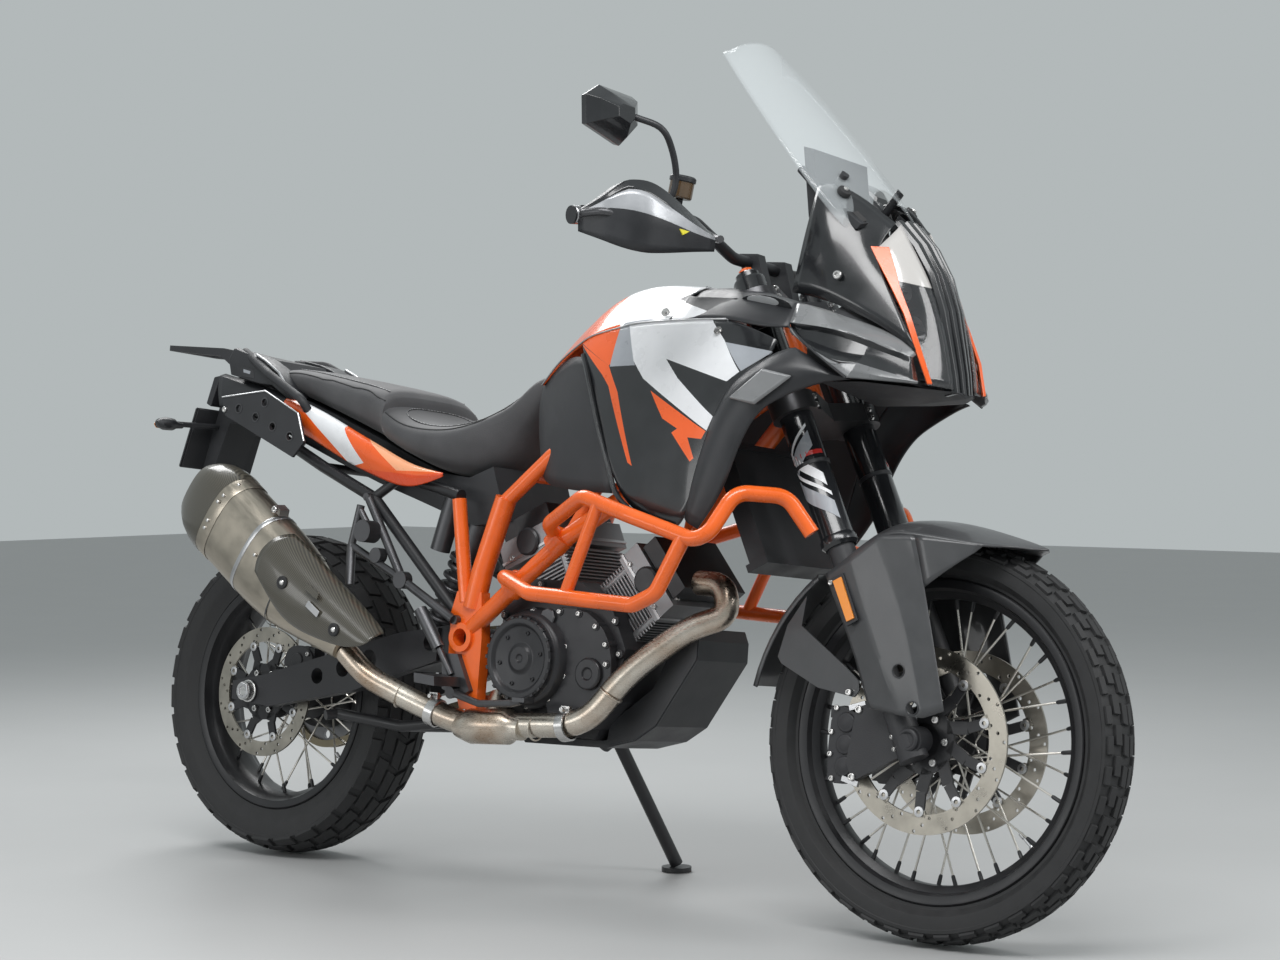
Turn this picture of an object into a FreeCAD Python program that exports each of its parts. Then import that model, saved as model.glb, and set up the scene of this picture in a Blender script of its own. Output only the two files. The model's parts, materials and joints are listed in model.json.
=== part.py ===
import FreeCAD
import Part

import math
import os
from functools import cache

# Adventure motorcycle, one STEP file per piece.
# Every piece is drawn with the bike upright: +X forward, +Y to its left, +Z up, millimetres,
# the floor at z = 0 under the rear axle. build() then steers, leans and centres the pieces.

V = FreeCAD.Vector

# Chassis
WHEELBASE = 1580.0
RAKE = 26.0
TRAIL = 123.0
FORK_OFFSET = 30.0
FORK_HALF_SPACING = 106.0
LEAN = 6.0
STEER = 1.5

# Wheels and tyres
FRONT_RADIUS = 347.5
FRONT_TYRE_WIDTH = 95.0
FRONT_RIM_SEAT = 266.7
FRONT_RIM_HALF = 27.0
REAR_RADIUS = 333.5
REAR_TYRE_WIDTH = 150.0
REAR_RIM_SEAT = 228.6
REAR_RIM_HALF = 54.0
RIM_FLANGE = 13.0
SPOKE_RADIUS = 2.2
FRONT_SPOKES = 36
REAR_SPOKES = 32

# Brakes
FRONT_DISC_RADIUS = 160.0
FRONT_DISC_Y = 72.0
REAR_DISC_RADIUS = 133.5
REAR_DISC_Y = 98.0
DISC_THICKNESS = 4.5
PAD_GAP = 1.5

# Axles and bearings
AXLE_RADIUS = 12.5
RUNNING = 0.3
CLEAR = 5.0

# Drive
CHAIN_PITCH = 15.875
CHAIN_Y = 98.0
REAR_TEETH = 42
FRONT_TEETH = 17
COUNTERSHAFT = (700.0, 475.0)
ROLLER_RADIUS = 5.1

# Frame
PIVOT = (598.0, 472.0)
FRAME_INNER_Y = 140.0
FRAME_PLATE = 25.0
HEAD_LOW = 1026.0
HEAD_HIGH = 1199.0
STEM_RADIUS = 19.7

# Stands
STAND_PIVOT = V(735, 152, 302)
STAND_FOOT = (786.0, 318.0)
STAND_PIN = 8.0
KNUCKLE = 26.0
CENTRE_PIVOT = (602.0, 316.0)

# Filler cap
CAP_HINGE = (1017.0, 1153.0)

# Fork
OUTER_TUBE = 30.0
INNER_TUBE = 24.0
OUTER_LOW = 734.0
OUTER_HIGH = 1262.0
LOWER_CLAMP = (985.0, 1021.0)
UPPER_CLAMP = (1204.0, 1230.0)

REAR_AXLE = V(0, 0, REAR_RADIUS)
FRONT_AXLE = V(WHEELBASE, 0, FRONT_RADIUS)


# Shared ways of making shapes

def rod(start, end, radius):
    start, end = V(*start), V(*end)
    return Part.makeCylinder(radius, (end - start).Length, start, end - start)


def barrel(x, z, radius, y_from, y_to):
    low, high = sorted((y_from, y_to))
    return Part.makeCylinder(radius, high - low, V(x, low, z), V(0, 1, 0))


def tube(points, radius, bend):
    """Round bar along straight runs that meet in tangent arcs."""
    corners = [V(*p) for p in points]
    pieces = []
    start = corners[0]
    for before, corner, after in zip(corners, corners[1:], corners[2:]):
        back = before - corner
        ahead = after - corner
        room = 0.45 * min(back.Length, ahead.Length)
        back.normalize()
        ahead.normalize()
        half = back.getAngle(ahead) / 2
        run = min(bend / math.tan(half), room)
        into, out = corner + back * run, corner + ahead * run
        inward = back + ahead
        inward.normalize()
        middle = corner + inward * (run / math.cos(half))
        pieces.append(rod(start, into, radius))
        ring = Part.Face(Part.Wire([Part.makeCircle(radius, into, back)]))
        pieces.append(ring.revolve(middle, ahead.cross(back), 180 - 2 * math.degrees(half)))
        start = out
    pieces.append(rod(start, corners[-1], radius))
    return joined(pieces)


def side_slab(outline, y_from, y_to):
    """Flat piece whose outline is seen from the side."""
    corners = [V(x, y_from, z) for x, z in outline]
    face = Part.Face(Part.makePolygon(corners + corners[:1]))
    return face.extrude(V(0, y_to - y_from, 0))


def box(x_from, x_to, y_from, y_to, z_from, z_to):
    return Part.makeBox(x_to - x_from, y_to - y_from, z_to - z_from, V(x_from, y_from, z_from))


def mirrored(shape):
    return shape.mirror(V(0, 0, 0), V(0, 1, 0))


def pair(shape):
    """The right-hand piece and its mirror image, as two solids."""
    return Part.makeCompound([shape, mirrored(shape)])


def joined(shapes):
    return shapes[0].multiFuse(shapes[1:]).removeSplitter()


def turned(profile, centre):
    """Ring about the axle line through centre, from (radius, y) corners."""
    corners = [V(centre.x, y, centre.z + radius) for radius, y in profile]
    face = Part.Face(Part.makePolygon(corners + corners[:1]))
    return face.revolve(V(centre.x, 0, centre.z), V(0, 1, 0), 360)


def half_ring(x, half):
    """Closed section at x from (y, z) corners of one side, top centre to bottom centre."""
    right = [V(x, -y, z) for y, z in half]
    left = [V(x, y, z) for y, z in reversed(half) if y > 0]
    corners = right + left
    return Part.makePolygon(corners + corners[:1])


def symmetric_loft(sections, ruled=True):
    return Part.makeLoft([half_ring(x, half) for x, half in sections], True, ruled)


def section_loft(sections, ruled=True):
    """Loft through closed sections at fixed x, each a list of (y, z) corners."""
    rings = []
    for x, corners in sections:
        points = [V(x, y, z) for y, z in corners]
        rings.append(Part.makePolygon(points + points[:1]))
    return Part.makeLoft(rings, True, ruled)


def flank_loft(sections, ruled=True):
    """Right-hand panel: at each x its (outer y, z) corners, top to bottom, and its inner y."""
    rings = []
    for x, inner, outer in sections:
        corners = [(-y, z) for y, z in outer]
        corners += [(-inner, outer[-1][1]), (-inner, outer[0][1])]
        rings.append((x, corners))
    return section_loft(rings, ruled)


# Steering geometry

def steer_axis():
    angle = math.radians(RAKE)
    return V(-math.sin(angle), 0, math.cos(angle))


def ground_point():
    return V(WHEELBASE + TRAIL, 0, 0)


def fork_point(along, ahead=0.0, y=0.0):
    """Point at a distance up the steering axis from the floor, and ahead of it."""
    angle = math.radians(RAKE)
    forward = V(math.cos(angle), 0, math.sin(angle))
    return ground_point() + steer_axis() * along + forward * ahead + V(0, y, 0)


def fork_rod(low, high, radius, ahead=0.0, y=0.0):
    start, end = fork_point(low, ahead, y), fork_point(high, ahead, y)
    return Part.makeCylinder(radius, high - low, start, end - start)


def fork_slab(outline, low, high):
    """Plate square to the steering axis, from (ahead, y) corners."""
    corners = [fork_point(low, ahead, y) for ahead, y in outline]
    face = Part.Face(Part.makePolygon(corners + corners[:1]))
    return face.extrude(steer_axis() * (high - low))


# Wheels

def tyre(centre, radius, width, seat, half):
    """Closed ring with a round crown; the bead sits between the rim's flanges."""
    shoulder = radius - 0.16 * width
    lip = seat + RIM_FLANGE + 1.0
    bulge = (shoulder + lip) / 2
    y = width / 2
    bead = half - 0.3
    points = [V(centre.x, -a, centre.z + r) for a, r in (
        (bead, seat + 0.3), (bead, lip), (y * 0.93, bulge), (y, shoulder))]
    crown = V(centre.x, 0, centre.z + radius)
    right = [V(p.x, -p.y, p.z) for p in points]
    around = points + [None] + right[::-1] + points[:1]
    edges = []
    for start, end in zip(around, around[1:]):
        if start is not None and end is not None:
            edges.append(Part.LineSegment(start, end).toShape())
        elif end is None:
            edges.append(Part.Arc(start, crown, right[-1]).toShape())
    face = Part.Face(Part.Wire(edges))
    return face.revolve(V(centre.x, 0, centre.z), V(0, 1, 0), 360)


def rim(centre, seat, half):
    """Dropped-centre rim with a flange each side."""
    flange = RIM_FLANGE
    wall = 4.0
    well = 14.0
    outer = [(seat + flange, -half - wall), (seat + flange, -half), (seat, -half),
             (seat - 1, -half * 0.6), (seat - well, -half * 0.4),
             (seat - well, half * 0.4), (seat - 1, half * 0.6),
             (seat, half), (seat + flange, half), (seat + flange, half + wall)]
    inner = [(seat - wall, half + wall), (seat - well - wall - 3, half * 0.4 + wall),
             (seat - well - wall - 3, -half * 0.4 - wall), (seat - wall, -half - wall)]
    return turned(outer + inner, centre)


def spokes(centre, count, hub_radius, hub_y, rim_radius, rim_y, cross):
    """Crossed spokes, two by two from the hub's flanges to the rim's well."""
    rods = []
    for index in range(count):
        side = 1 if index % 2 else -1
        lean = cross if (index // 2) % 2 else -cross
        outer = math.radians(360.0 * index / count)
        inner = outer + math.radians(lean)
        start = V(centre.x + hub_radius * math.cos(inner), side * hub_y,
                  centre.z + hub_radius * math.sin(inner))
        end = V(centre.x + rim_radius * math.cos(outer), side * rim_y,
                centre.z + rim_radius * math.sin(outer))
        rods.append(Part.makeCylinder(SPOKE_RADIUS, (end - start).Length, start, end - start))
    return rods


@cache
def front_wheel():
    disc_seat = FRONT_DISC_Y - DISC_THICKNESS / 2
    bore = AXLE_RADIUS + RUNNING
    hub = turned([(bore, -disc_seat), (46, -disc_seat), (46, -disc_seat + 6), (26, -52),
                  (26, -44), (38, -42), (38, -35), (24, -33), (24, 33), (38, 35), (38, 42),
                  (26, 44), (26, 52), (46, disc_seat - 6), (46, disc_seat),
                  (bore, disc_seat)], FRONT_AXLE)
    ring = rim(FRONT_AXLE, FRONT_RIM_SEAT, FRONT_RIM_HALF)
    wires = spokes(FRONT_AXLE, FRONT_SPOKES, 34, 38, FRONT_RIM_SEAT - 18, 8, 62)
    return joined([hub, ring] + wires)


@cache
def rear_wheel():
    disc_seat = REAR_DISC_Y - DISC_THICKNESS / 2
    sprocket_seat = CHAIN_Y - 3.5
    bore = AXLE_RADIUS + RUNNING
    hub = turned([(bore, -disc_seat), (48, -disc_seat), (48, -disc_seat + 7), (32, -76),
                  (32, -62), (52, -60), (52, -52), (34, -48), (34, 40), (52, 44), (52, 52),
                  (70, 56), (72, sprocket_seat), (bore, sprocket_seat)], REAR_AXLE)
    ring = rim(REAR_AXLE, REAR_RIM_SEAT, REAR_RIM_HALF)
    wires = spokes(REAR_AXLE, REAR_SPOKES, 48, 50, REAR_RIM_SEAT - 18, 16, 62)
    return joined([hub, ring] + wires)


@cache
def front_tyre():
    return tyre(FRONT_AXLE, FRONT_RADIUS, FRONT_TYRE_WIDTH, FRONT_RIM_SEAT, FRONT_RIM_HALF)


@cache
def rear_tyre():
    return tyre(REAR_AXLE, REAR_RADIUS, REAR_TYRE_WIDTH, REAR_RIM_SEAT, REAR_RIM_HALF)


def brake_disc(centre, radius, band, y, inner, arms):
    """Braking band carried on a spider by round bobbins."""
    low, high = y - DISC_THICKNESS / 2, y + DISC_THICKNESS / 2
    ring = barrel(centre.x, centre.z, radius, low, high)
    ring = ring.cut(barrel(centre.x, centre.z, radius - band, low, high))
    carrier = barrel(centre.x, centre.z, radius - band - 12, low, high)
    carrier = carrier.cut(barrel(centre.x, centre.z, inner, low, high))
    middle = (radius - band - 12 + inner + 16) / 2
    window = min((radius - band - 28 - inner - 16) / 2, 0.76 * middle * math.sin(math.pi / arms))
    parts = []
    for index in range(arms):
        angle = 2 * math.pi * index / arms
        x = centre.x + (radius - band - 5) * math.cos(angle)
        z = centre.z + (radius - band - 5) * math.sin(angle)
        parts.append(barrel(x, z, 9, low, high))
        between = angle + math.pi / arms
        carrier = carrier.cut(barrel(centre.x + middle * math.cos(between),
                                     centre.z + middle * math.sin(between), window, low, high))
    return joined([ring, carrier] + parts)


@cache
def front_discs():
    left = brake_disc(FRONT_AXLE, FRONT_DISC_RADIUS, 34, FRONT_DISC_Y, 30, 10)
    return Part.makeCompound([left, mirrored(left)])


@cache
def rear_disc():
    return brake_disc(REAR_AXLE, REAR_DISC_RADIUS, 32, -REAR_DISC_Y, 30, 8)


def pitch_radius(teeth):
    return CHAIN_PITCH / (2 * math.sin(math.pi / teeth))


@cache
def rear_sprocket():
    tip = pitch_radius(REAR_TEETH) - ROLLER_RADIUS - 1.0
    plate = barrel(0, REAR_RADIUS, tip, CHAIN_Y - 3.5, CHAIN_Y + 3.5)
    plate = plate.cut(barrel(0, REAR_RADIUS, 34, CHAIN_Y - 4, CHAIN_Y + 4))
    for index in range(6):
        angle = 2 * math.pi * (index + 0.5) / 6
        plate = plate.cut(barrel(86 * math.cos(angle), REAR_RADIUS + 86 * math.sin(angle), 9,
                                 CHAIN_Y - 4, CHAIN_Y + 4))
    return plate


def chain_loop(offset):
    """Outline of the chain's run, moved outwards by offset."""
    big = pitch_radius(REAR_TEETH) + offset
    small = pitch_radius(FRONT_TEETH) + offset
    front = V(COUNTERSHAFT[0], 0, COUNTERSHAFT[1])
    rear = REAR_AXLE
    gap = front - rear
    base = math.atan2(gap.z, gap.x)
    spread = math.acos((big - small) / gap.Length)
    top = base + spread
    low = base - spread

    def on(centre, radius, angle):
        return V(centre.x + radius * math.cos(angle), 0, centre.z + radius * math.sin(angle))
    edges = [Part.LineSegment(on(rear, big, top), on(front, small, top)).toShape(),
             Part.Arc(on(front, small, top), on(front, small, base), on(front, small, low)).toShape(),
             Part.LineSegment(on(front, small, low), on(rear, big, low)).toShape(),
             Part.Arc(on(rear, big, low), on(rear, big, base + math.pi), on(rear, big, top)).toShape()]
    return Part.Face(Part.Wire(edges))


@cache
def chain():
    """Rollers as one band, with link plates standing proud each side of it."""
    parts = []
    for half_height, y_from, y_to in ((ROLLER_RADIUS, -5, 5), (7.5, 5, 12), (7.5, -12, -5)):
        band = chain_loop(half_height).cut(chain_loop(-half_height))
        band = band.extrude(V(0, y_to - y_from, 0))
        band.translate(V(0, CHAIN_Y + y_from, 0))
        parts.append(band)
    return joined(parts)


# Fork and steering

@cache
def fork_lowers():
    lug_low = 335.0
    lug_high = 425.0
    boss_out = 138.0
    legs = []
    for side in (-1, 1):
        y = side * FORK_HALF_SPACING
        legs.append(fork_rod(lug_low, OUTER_LOW + 60, INNER_TUBE, FORK_OFFSET, y))
        legs.append(fork_rod(lug_low, lug_high, INNER_TUBE + 2, FORK_OFFSET, y))
        legs.append(barrel(FRONT_AXLE.x, FRONT_AXLE.z, 24, side * 84, side * 124))
        arm = [(1462, 395), (1540, 420), (1570, 372), (1560, 320), (1462, 268), (1448, 300)]
        legs.append(side_slab(arm, side * 88, side * 106))
        legs.append(barrel(1546, 424, 10, side * 110, side * boss_out))
    legs.append(barrel(FRONT_AXLE.x, FRONT_AXLE.z, AXLE_RADIUS, -128, 128))
    return joined(legs)


@cache
def fork_outer_tubes():
    tubes = []
    for side in (-1, 1):
        y = side * FORK_HALF_SPACING
        body = fork_rod(OUTER_LOW, OUTER_HIGH, OUTER_TUBE, FORK_OFFSET, y)
        collar = fork_rod(OUTER_LOW, OUTER_LOW + 14, OUTER_TUBE + 3, FORK_OFFSET, y)
        cap = fork_rod(OUTER_HIGH, OUTER_HIGH + 14, 22, FORK_OFFSET, y)
        bore = fork_rod(OUTER_LOW, OUTER_LOW + 70, INNER_TUBE, FORK_OFFSET, y)
        tubes.append(joined([body, collar, cap]).cut(bore))
    return Part.makeCompound(tubes)


def clamp_outline(reach):
    return [(-32, -40), (-32, 40), (FORK_OFFSET - 26, FORK_HALF_SPACING + reach),
            (FORK_OFFSET + 26, FORK_HALF_SPACING + reach), (FORK_OFFSET + 40, 80),
            (44, 0), (FORK_OFFSET + 40, -80), (FORK_OFFSET + 26, -FORK_HALF_SPACING - reach),
            (FORK_OFFSET - 26, -FORK_HALF_SPACING - reach)]


@cache
def triple_clamps():
    parts = [fork_rod(LOWER_CLAMP[0], UPPER_CLAMP[1] + 10, STEM_RADIUS)]
    for low, high in (LOWER_CLAMP, UPPER_CLAMP):
        parts.append(fork_slab(clamp_outline(20), low, high))
        for side in (-1, 1):
            parts.append(fork_rod(low, high, OUTER_TUBE + 12, FORK_OFFSET,
                                  side * FORK_HALF_SPACING))
    clamps = joined(parts)
    for side in (-1, 1):
        clamps = clamps.cut(fork_rod(900, 1300, OUTER_TUBE, FORK_OFFSET, side * FORK_HALF_SPACING))
    return clamps


BAR_CENTRE = (1138.0, 1190.0)
BAR_RADIUS = 11.0


def bar_route():
    x, z = BAR_CENTRE
    right = [(1068, -478, 1204), (1130, -225, 1238), (x, -105, z)]
    left = [(px, -py, pz) for px, py, pz in reversed(right)]
    return right + left


@cache
def handlebar():
    bar = tube(bar_route(), BAR_RADIUS, 60)
    parts = [bar]
    x, z = BAR_CENTRE
    for side in (-1, 1):
        foot = fork_point(UPPER_CLAMP[1], FORK_OFFSET - 32, side * 45)
        riser = side_slab([(foot.x - 15, foot.z - 16), (foot.x + 29, foot.z + 5),
                           (x + 20, z + 16), (x - 20, z + 18)], side * 33, side * 57)
        parts.append(riser)
        parts.append(rod((1068, side * 476, 1204), (1063, side * 492, 1202), 16))
    return joined(parts).cut(fork_slab([(-90, -150), (-90, 150), (90, 150), (90, -150)],
                                       UPPER_CLAMP[0] - 40, UPPER_CLAMP[1]))


def bar_at(y):
    """Point of the bar's straight grip run at a distance y out."""
    outer, inner = bar_route()[0], bar_route()[1]
    share = (abs(y) - abs(inner[1])) / (abs(outer[1]) - abs(inner[1]))
    return V(inner[0] + share * (outer[0] - inner[0]), y, inner[2] + share * (outer[2] - inner[2]))


@cache
def bar_controls():
    """Grips, switch blocks, levers and fluid reservoirs."""
    solids = []
    for side in (-1, 1):
        grip = rod(bar_at(side * 352), bar_at(side * 474), 16.5)
        block = rod(bar_at(side * 300), bar_at(side * 350), 21)
        perch = rod(bar_at(side * 262), bar_at(side * 298), 18)
        pivot = bar_at(side * 275) + V(36, 0, -4)
        arm = rod(bar_at(side * 278) + V(10, 0, 0), pivot + V(6, 0, 0), 9)
        lever = tube([pivot, pivot + V(6, side * 60, -6), bar_at(side * 455) + V(48, 0, -10)], 6, 30)
        parts = [grip, block, perch, arm, lever]
        stalk = bar_at(side * 268) + V(4, 0, 12)
        cup = stalk + V(10, side * -4, 24)
        parts.append(rod(stalk, cup, 7))
        parts.append(Part.makeCylinder(21, 40, cup, V(0.15, 0, 1)))
        solids.append(joined(parts))
    controls = Part.makeCompound(solids)
    return controls.cut(tube(bar_route(), BAR_RADIUS, 60))


def hand_guard_right():
    """Faceted shell in front of the grip, from the bar's end to beside the clamp."""
    def station(y, x_front, z_top, z_low, thick):
        return (y, [(x_front - 26, z_top), (x_front, (z_top + z_low) / 2 + 8),
                    (x_front - 10, z_low), (x_front - 10 - thick, z_low),
                    (x_front - thick, (z_top + z_low) / 2 + 8), (x_front - 26 - thick, z_top)])
    stations = [station(-258, 1226, 1222, 1166, 4), station(-330, 1222, 1262, 1146, 4),
                station(-400, 1196, 1272, 1146, 4), station(-448, 1150, 1238, 1164, 4)]
    rings = []
    for y, corners in stations:
        points = [V(x, y, z) for x, z in corners]
        rings.append(Part.makePolygon(points + points[:1]))
    shell = Part.makeLoft(rings, True, True)
    arm = tube([bar_at(-474) + V(0, -8, 0), bar_at(-470) + V(60, -22, 0), (1150, -448, 1200)], 7, 20)
    inner = tube([(1218, -262, 1194), (1190, -245, 1196), bar_at(-250)], 7, 20)
    return joined([shell, arm, inner])


@cache
def hand_guards():
    guards = pair(hand_guard_right())
    guards = guards.cut(handlebar())
    return guards.cut(bar_controls())


def mirror_right():
    stem = tube([bar_at(-312) + V(4, 0, 18), (1148, -312, 1290), (1152, -366, 1372),
                 (1112, -396, 1390)], 6, 26)
    sections = []
    for x, half_y, half_z in ((1118, 26, 18), (1100, 58, 36), (1082, 68, 46), (1070, 66, 44)):
        cy, cz = -428.0, 1388.0
        sections.append((x, [(cy - half_y, cz + half_z * 0.5), (cy - half_y * 0.5, cz + half_z),
                             (cy + half_y * 0.9, cz + half_z), (cy + half_y, cz - half_z * 0.2),
                             (cy + half_y * 0.5, cz - half_z), (cy - half_y * 0.9, cz - half_z * 0.6)]))
    return joined([stem, section_loft(sections)])


@cache
def mirrors():
    glasses = pair(mirror_right())
    return glasses.cut(handlebar()).cut(bar_controls()).cut(hand_guards())


def fender_silhouette(y):
    outline = [(1392, 610), (1399, 640), (1440, 692), (1494, 740), (1600, 740), (1744, 690),
               (1748, 680), (1700, 655), (1588, 612), (1612, 500), (1638, 384), (1600, 368),
               (1508, 392), (1470, 470), (1440, 560)]
    return side_slab(outline, -y, y)


@cache
def front_fender():
    """Blade over the tyre that turns down each side into a fork guard."""
    def half(top, shoulder):
        return [(0, top), (62, top - 4), (122, shoulder), (142, shoulder - 40), (142, 350),
                (138, 350), (138, shoulder - 42), (118, shoulder - 4), (60, top - 8), (0, top - 4)]
    stations = [(1380, half(668, 640)), (1440, half(706, 672)), (1500, half(727, 684)),
                (1590, half(724, 662))]
    tip = [(1640, [(0, 717), (60, 712), (104, 676), (118, 640), (118, 350), (114, 350), (114, 638),
                   (100, 672), (58, 708), (0, 713)]),
           (1750, [(0, 686), (28, 682), (40, 676), (46, 668), (46, 350), (42, 350), (42, 666),
                   (38, 672), (26, 678), (0, 682)])]
    shell = symmetric_loft(stations + tip)
    shell = shell.common(fender_silhouette(200))
    for side in (-1, 1):
        shell = shell.cut(fork_rod(560, 900, OUTER_TUBE + 4, FORK_OFFSET, side * FORK_HALF_SPACING))
    for x, z in ((1558, 462), (1591, 401)):
        shell = shell.cut(barrel(x, z, 10, -160, 160))
    return shell


def front_caliper_right():
    block = [(1404, 300), (1412, 262), (1448, 262), (1470, 290), (1474, 372), (1440, 398),
             (1410, 392)]
    body = side_slab(block, -100, -52)
    slot = barrel(FRONT_AXLE.x, FRONT_AXLE.z, FRONT_DISC_RADIUS + CLEAR,
                  -FRONT_DISC_Y - DISC_THICKNESS / 2 - PAD_GAP,
                  -FRONT_DISC_Y + DISC_THICKNESS / 2 + PAD_GAP)
    return body.cut(slot)


@cache
def front_calipers():
    return pair(front_caliper_right()).cut(fork_lowers())


# Frame and running gear

def rail_ends():
    """Room inboard of the frame plates, where no rail may reach."""
    return side_slab([(540, 420), (690, 420), (690, 610), (540, 610)], -FRAME_INNER_Y, FRAME_INNER_Y)


@cache
def frame_side_right():
    side = frame_side(-1)
    return joined([side, rod((625, -150, 352), (625, 150, 352), 13)]).cut(pivot_bore())


@cache
def frame_side_left():
    return frame_side(1).cut(pivot_bore()).cut(frame_side_right())


def pivot_bore():
    return barrel(PIVOT[0], PIVOT[1], 17, -200, 200)


def frame_side(side):
    """Pivot plate, uprights and the ears of the centre stand on one side."""
    y = side * (FRAME_INNER_Y + FRAME_PLATE / 2)
    plate = [(578, 560), (640, 560), (648, 470), (646, 336), (604, 336), (566, 430), (566, 520)]
    x, z = CENTRE_PIVOT
    web = [(x - 14, z), (x + 14, z), (642, 356), (606, 356)]
    return joined([
        side_slab(plate, side * FRAME_INNER_Y, side * (FRAME_INNER_Y + FRAME_PLATE)),
        tube([(612, y, 530), (628, y, 600), (676, y, 742)], 21, 60),
        rod((592, y, 540), (556, y, 738), 14),
        barrel(PIVOT[0], PIVOT[1], 28, side * FRAME_INNER_Y, side * 172),
        side_slab(web, side * 124.5, side * FRAME_INNER_Y),
        barrel(x, z, 16, side * 124.5, side * FRAME_INNER_Y),
        barrel(x, z, STAND_PIN, side * 96, side * 130)])


@cache
def steering_head():
    return fork_rod(HEAD_LOW, HEAD_HIGH, 36).cut(fork_rod(900, 1300, STEM_RADIUS + RUNNING))


@cache
def frame_rails_right():
    """Trellis tubes and half of the cross tube, from the pivot plate to the steering head."""
    y = -FRAME_INNER_Y - FRAME_PLATE / 2
    tubes = [
        tube([(600, y, 480), (744, -178, 582), (860, -182, 672), (1214, -40, 955)], 17, 60),
        tube([(676, y, 735), (790, -150, 830), (1172, -32, 1022)], 15, 60),
        rod((860, -180, 674), (960, -108, 914), 12),
        rod((735, -150, 784), (735, 0, 784), 11)]
    rails = joined(tubes).cut(frame_side_right()).cut(steering_head())
    return rails.cut(rail_ends()).cut(pivot_bore())


def frame_rails_left():
    return mirrored(frame_rails_right())


@cache
def frame():
    """Every frame piece in one, for the pieces that are fitted around it."""
    return joined([frame_side_right(), frame_side_left(), steering_head(), frame_rails_right(),
                   frame_rails_left()])


@cache
def swingarm_cross():
    """Pivot tube and the bridge ahead of the rear tyre."""
    tube_part = barrel(PIVOT[0], PIVOT[1], 20, -118, 118)
    bridge = side_slab([(470, 476), (385, 462), (372, 420), (400, 398), (470, 420)], -118, 82)
    link = side_slab([(470, 464), (385, 448), (385, 420), (470, 430)], 80, 118)
    ribs = [side_slab([(606, 490), (460, 474), (460, 420), (596, 452)], y - 4, y + 4)
            for y in (-70, 70)]
    return joined([tube_part, bridge, link] + ribs).cut(chain_room())


@cache
def swingarm_right():
    """Right arm, with the hub of the pivot and round holes along it."""
    arm = [(606, 506), (420, 474), (60, 374), (-52, 352), (-52, 315), (60, 305), (300, 352),
           (430, 396), (590, 440)]
    thick = [(520, 488), (420, 474), (60, 374), (60, 305), (300, 352), (430, 396), (520, 424)]
    whole = joined([side_slab(arm, -118, -139), side_slab(thick, -118, -148),
                    barrel(PIVOT[0], PIVOT[1], 26, -118, -139)])
    for x, z, radius in ((500, 458, 16), (340, 416, 20), (270, 396, 18), (200, 376, 16)):
        whole = whole.cut(barrel(x, z, radius, -116, -150))
    return whole.cut(barrel(0, REAR_RADIUS, AXLE_RADIUS, -160, 160)).cut(frame())


@cache
def chain_room():
    run = chain_loop(ROLLER_RADIUS + 9).cut(chain_loop(-ROLLER_RADIUS - 9)).extrude(V(0, 34, 0))
    run.translate(V(0, CHAIN_Y - 17, 0))
    return run


@cache
def swingarm_left():
    return mirrored(swingarm_right()).cut(chain_room())


@cache
def swingarm():
    """The three swingarm pieces in one, for the pieces that are fitted around it."""
    return joined([swingarm_cross(), swingarm_right(), swingarm_left()])


@cache
def rear_axle():
    shaft = barrel(0, REAR_RADIUS, AXLE_RADIUS, -152, 152)
    parts = [shaft]
    for side in (-1, 1):
        parts.append(barrel(0, REAR_RADIUS, 19, side * 139, side * 158))
        spacer_in = REAR_DISC_Y + 4 if side < 0 else CHAIN_Y + 5
        parts.append(barrel(0, REAR_RADIUS, 20, side * spacer_in, side * 118))
    return joined(parts)


@cache
def rear_caliper():
    angle = math.radians(20)
    reach = REAR_DISC_RADIUS - 16
    x, z = reach * math.cos(angle), REAR_RADIUS + reach * math.sin(angle) + 30
    body = side_slab([(x - 44, z - 30), (x + 40, z - 34), (x + 46, z + 24), (x - 30, z + 34)],
                     -117.7, -82)
    slot = barrel(0, REAR_RADIUS, REAR_DISC_RADIUS + CLEAR,
                  -REAR_DISC_Y - DISC_THICKNESS / 2 - PAD_GAP,
                  -REAR_DISC_Y + DISC_THICKNESS / 2 + PAD_GAP)
    return body.cut(slot)


@cache
def rear_shock():
    low, high = V(432, -60, 470), V(560, -60, 742)
    axis = high - low
    axis.normalize()
    length = (high - low).Length
    parts = [Part.makeCylinder(12, length, low, axis),
             Part.makeCylinder(30, 110, low + axis * (length - 130), axis),
             Part.makeCylinder(36, 8, low + axis * (length - 136), axis),
             Part.makeCylinder(36, 8, low + axis * 24, axis)]
    parts.append(Part.makeCylinder(24, length - 150, low + axis * 24, axis))
    for turn in range(6):
        parts.append(Part.makeTorus(29, 5.5, low + axis * (42 + 22 * turn), axis))
    parts.append(Part.makeCylinder(20, 120, V(470, -104, 640), V(0.3, 0, 1)))
    parts.append(rod((505, -96, 700), (540, -66, 705), 10))
    return joined(parts).cut(swingarm())


@cache
def subframe():
    parts = []
    for side in (-1, 1):
        y = side * (FRAME_INNER_Y + FRAME_PLATE / 2)
        parts.append(tube([(584, y, 505), (318, side * 142, 738), (160, side * 132, 800),
                           (-80, side * 104, 900)], 12, 60))
        parts.append(tube([(560, y, 745), (420, side * 132, 775), (200, side * 124, 868),
                           (-150, side * 92, 958)], 12, 60))
        parts.append(rod((318, side * 142, 738), (392, side * 130, 790), 10))
    for x, z, half in ((160, 800, 132), (-80, 900, 104), (420, 775, 132), (-140, 955, 92)):
        parts.append(rod((x, -half, z), (x, half, z), 9))
    return joined(parts).cut(frame())


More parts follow.
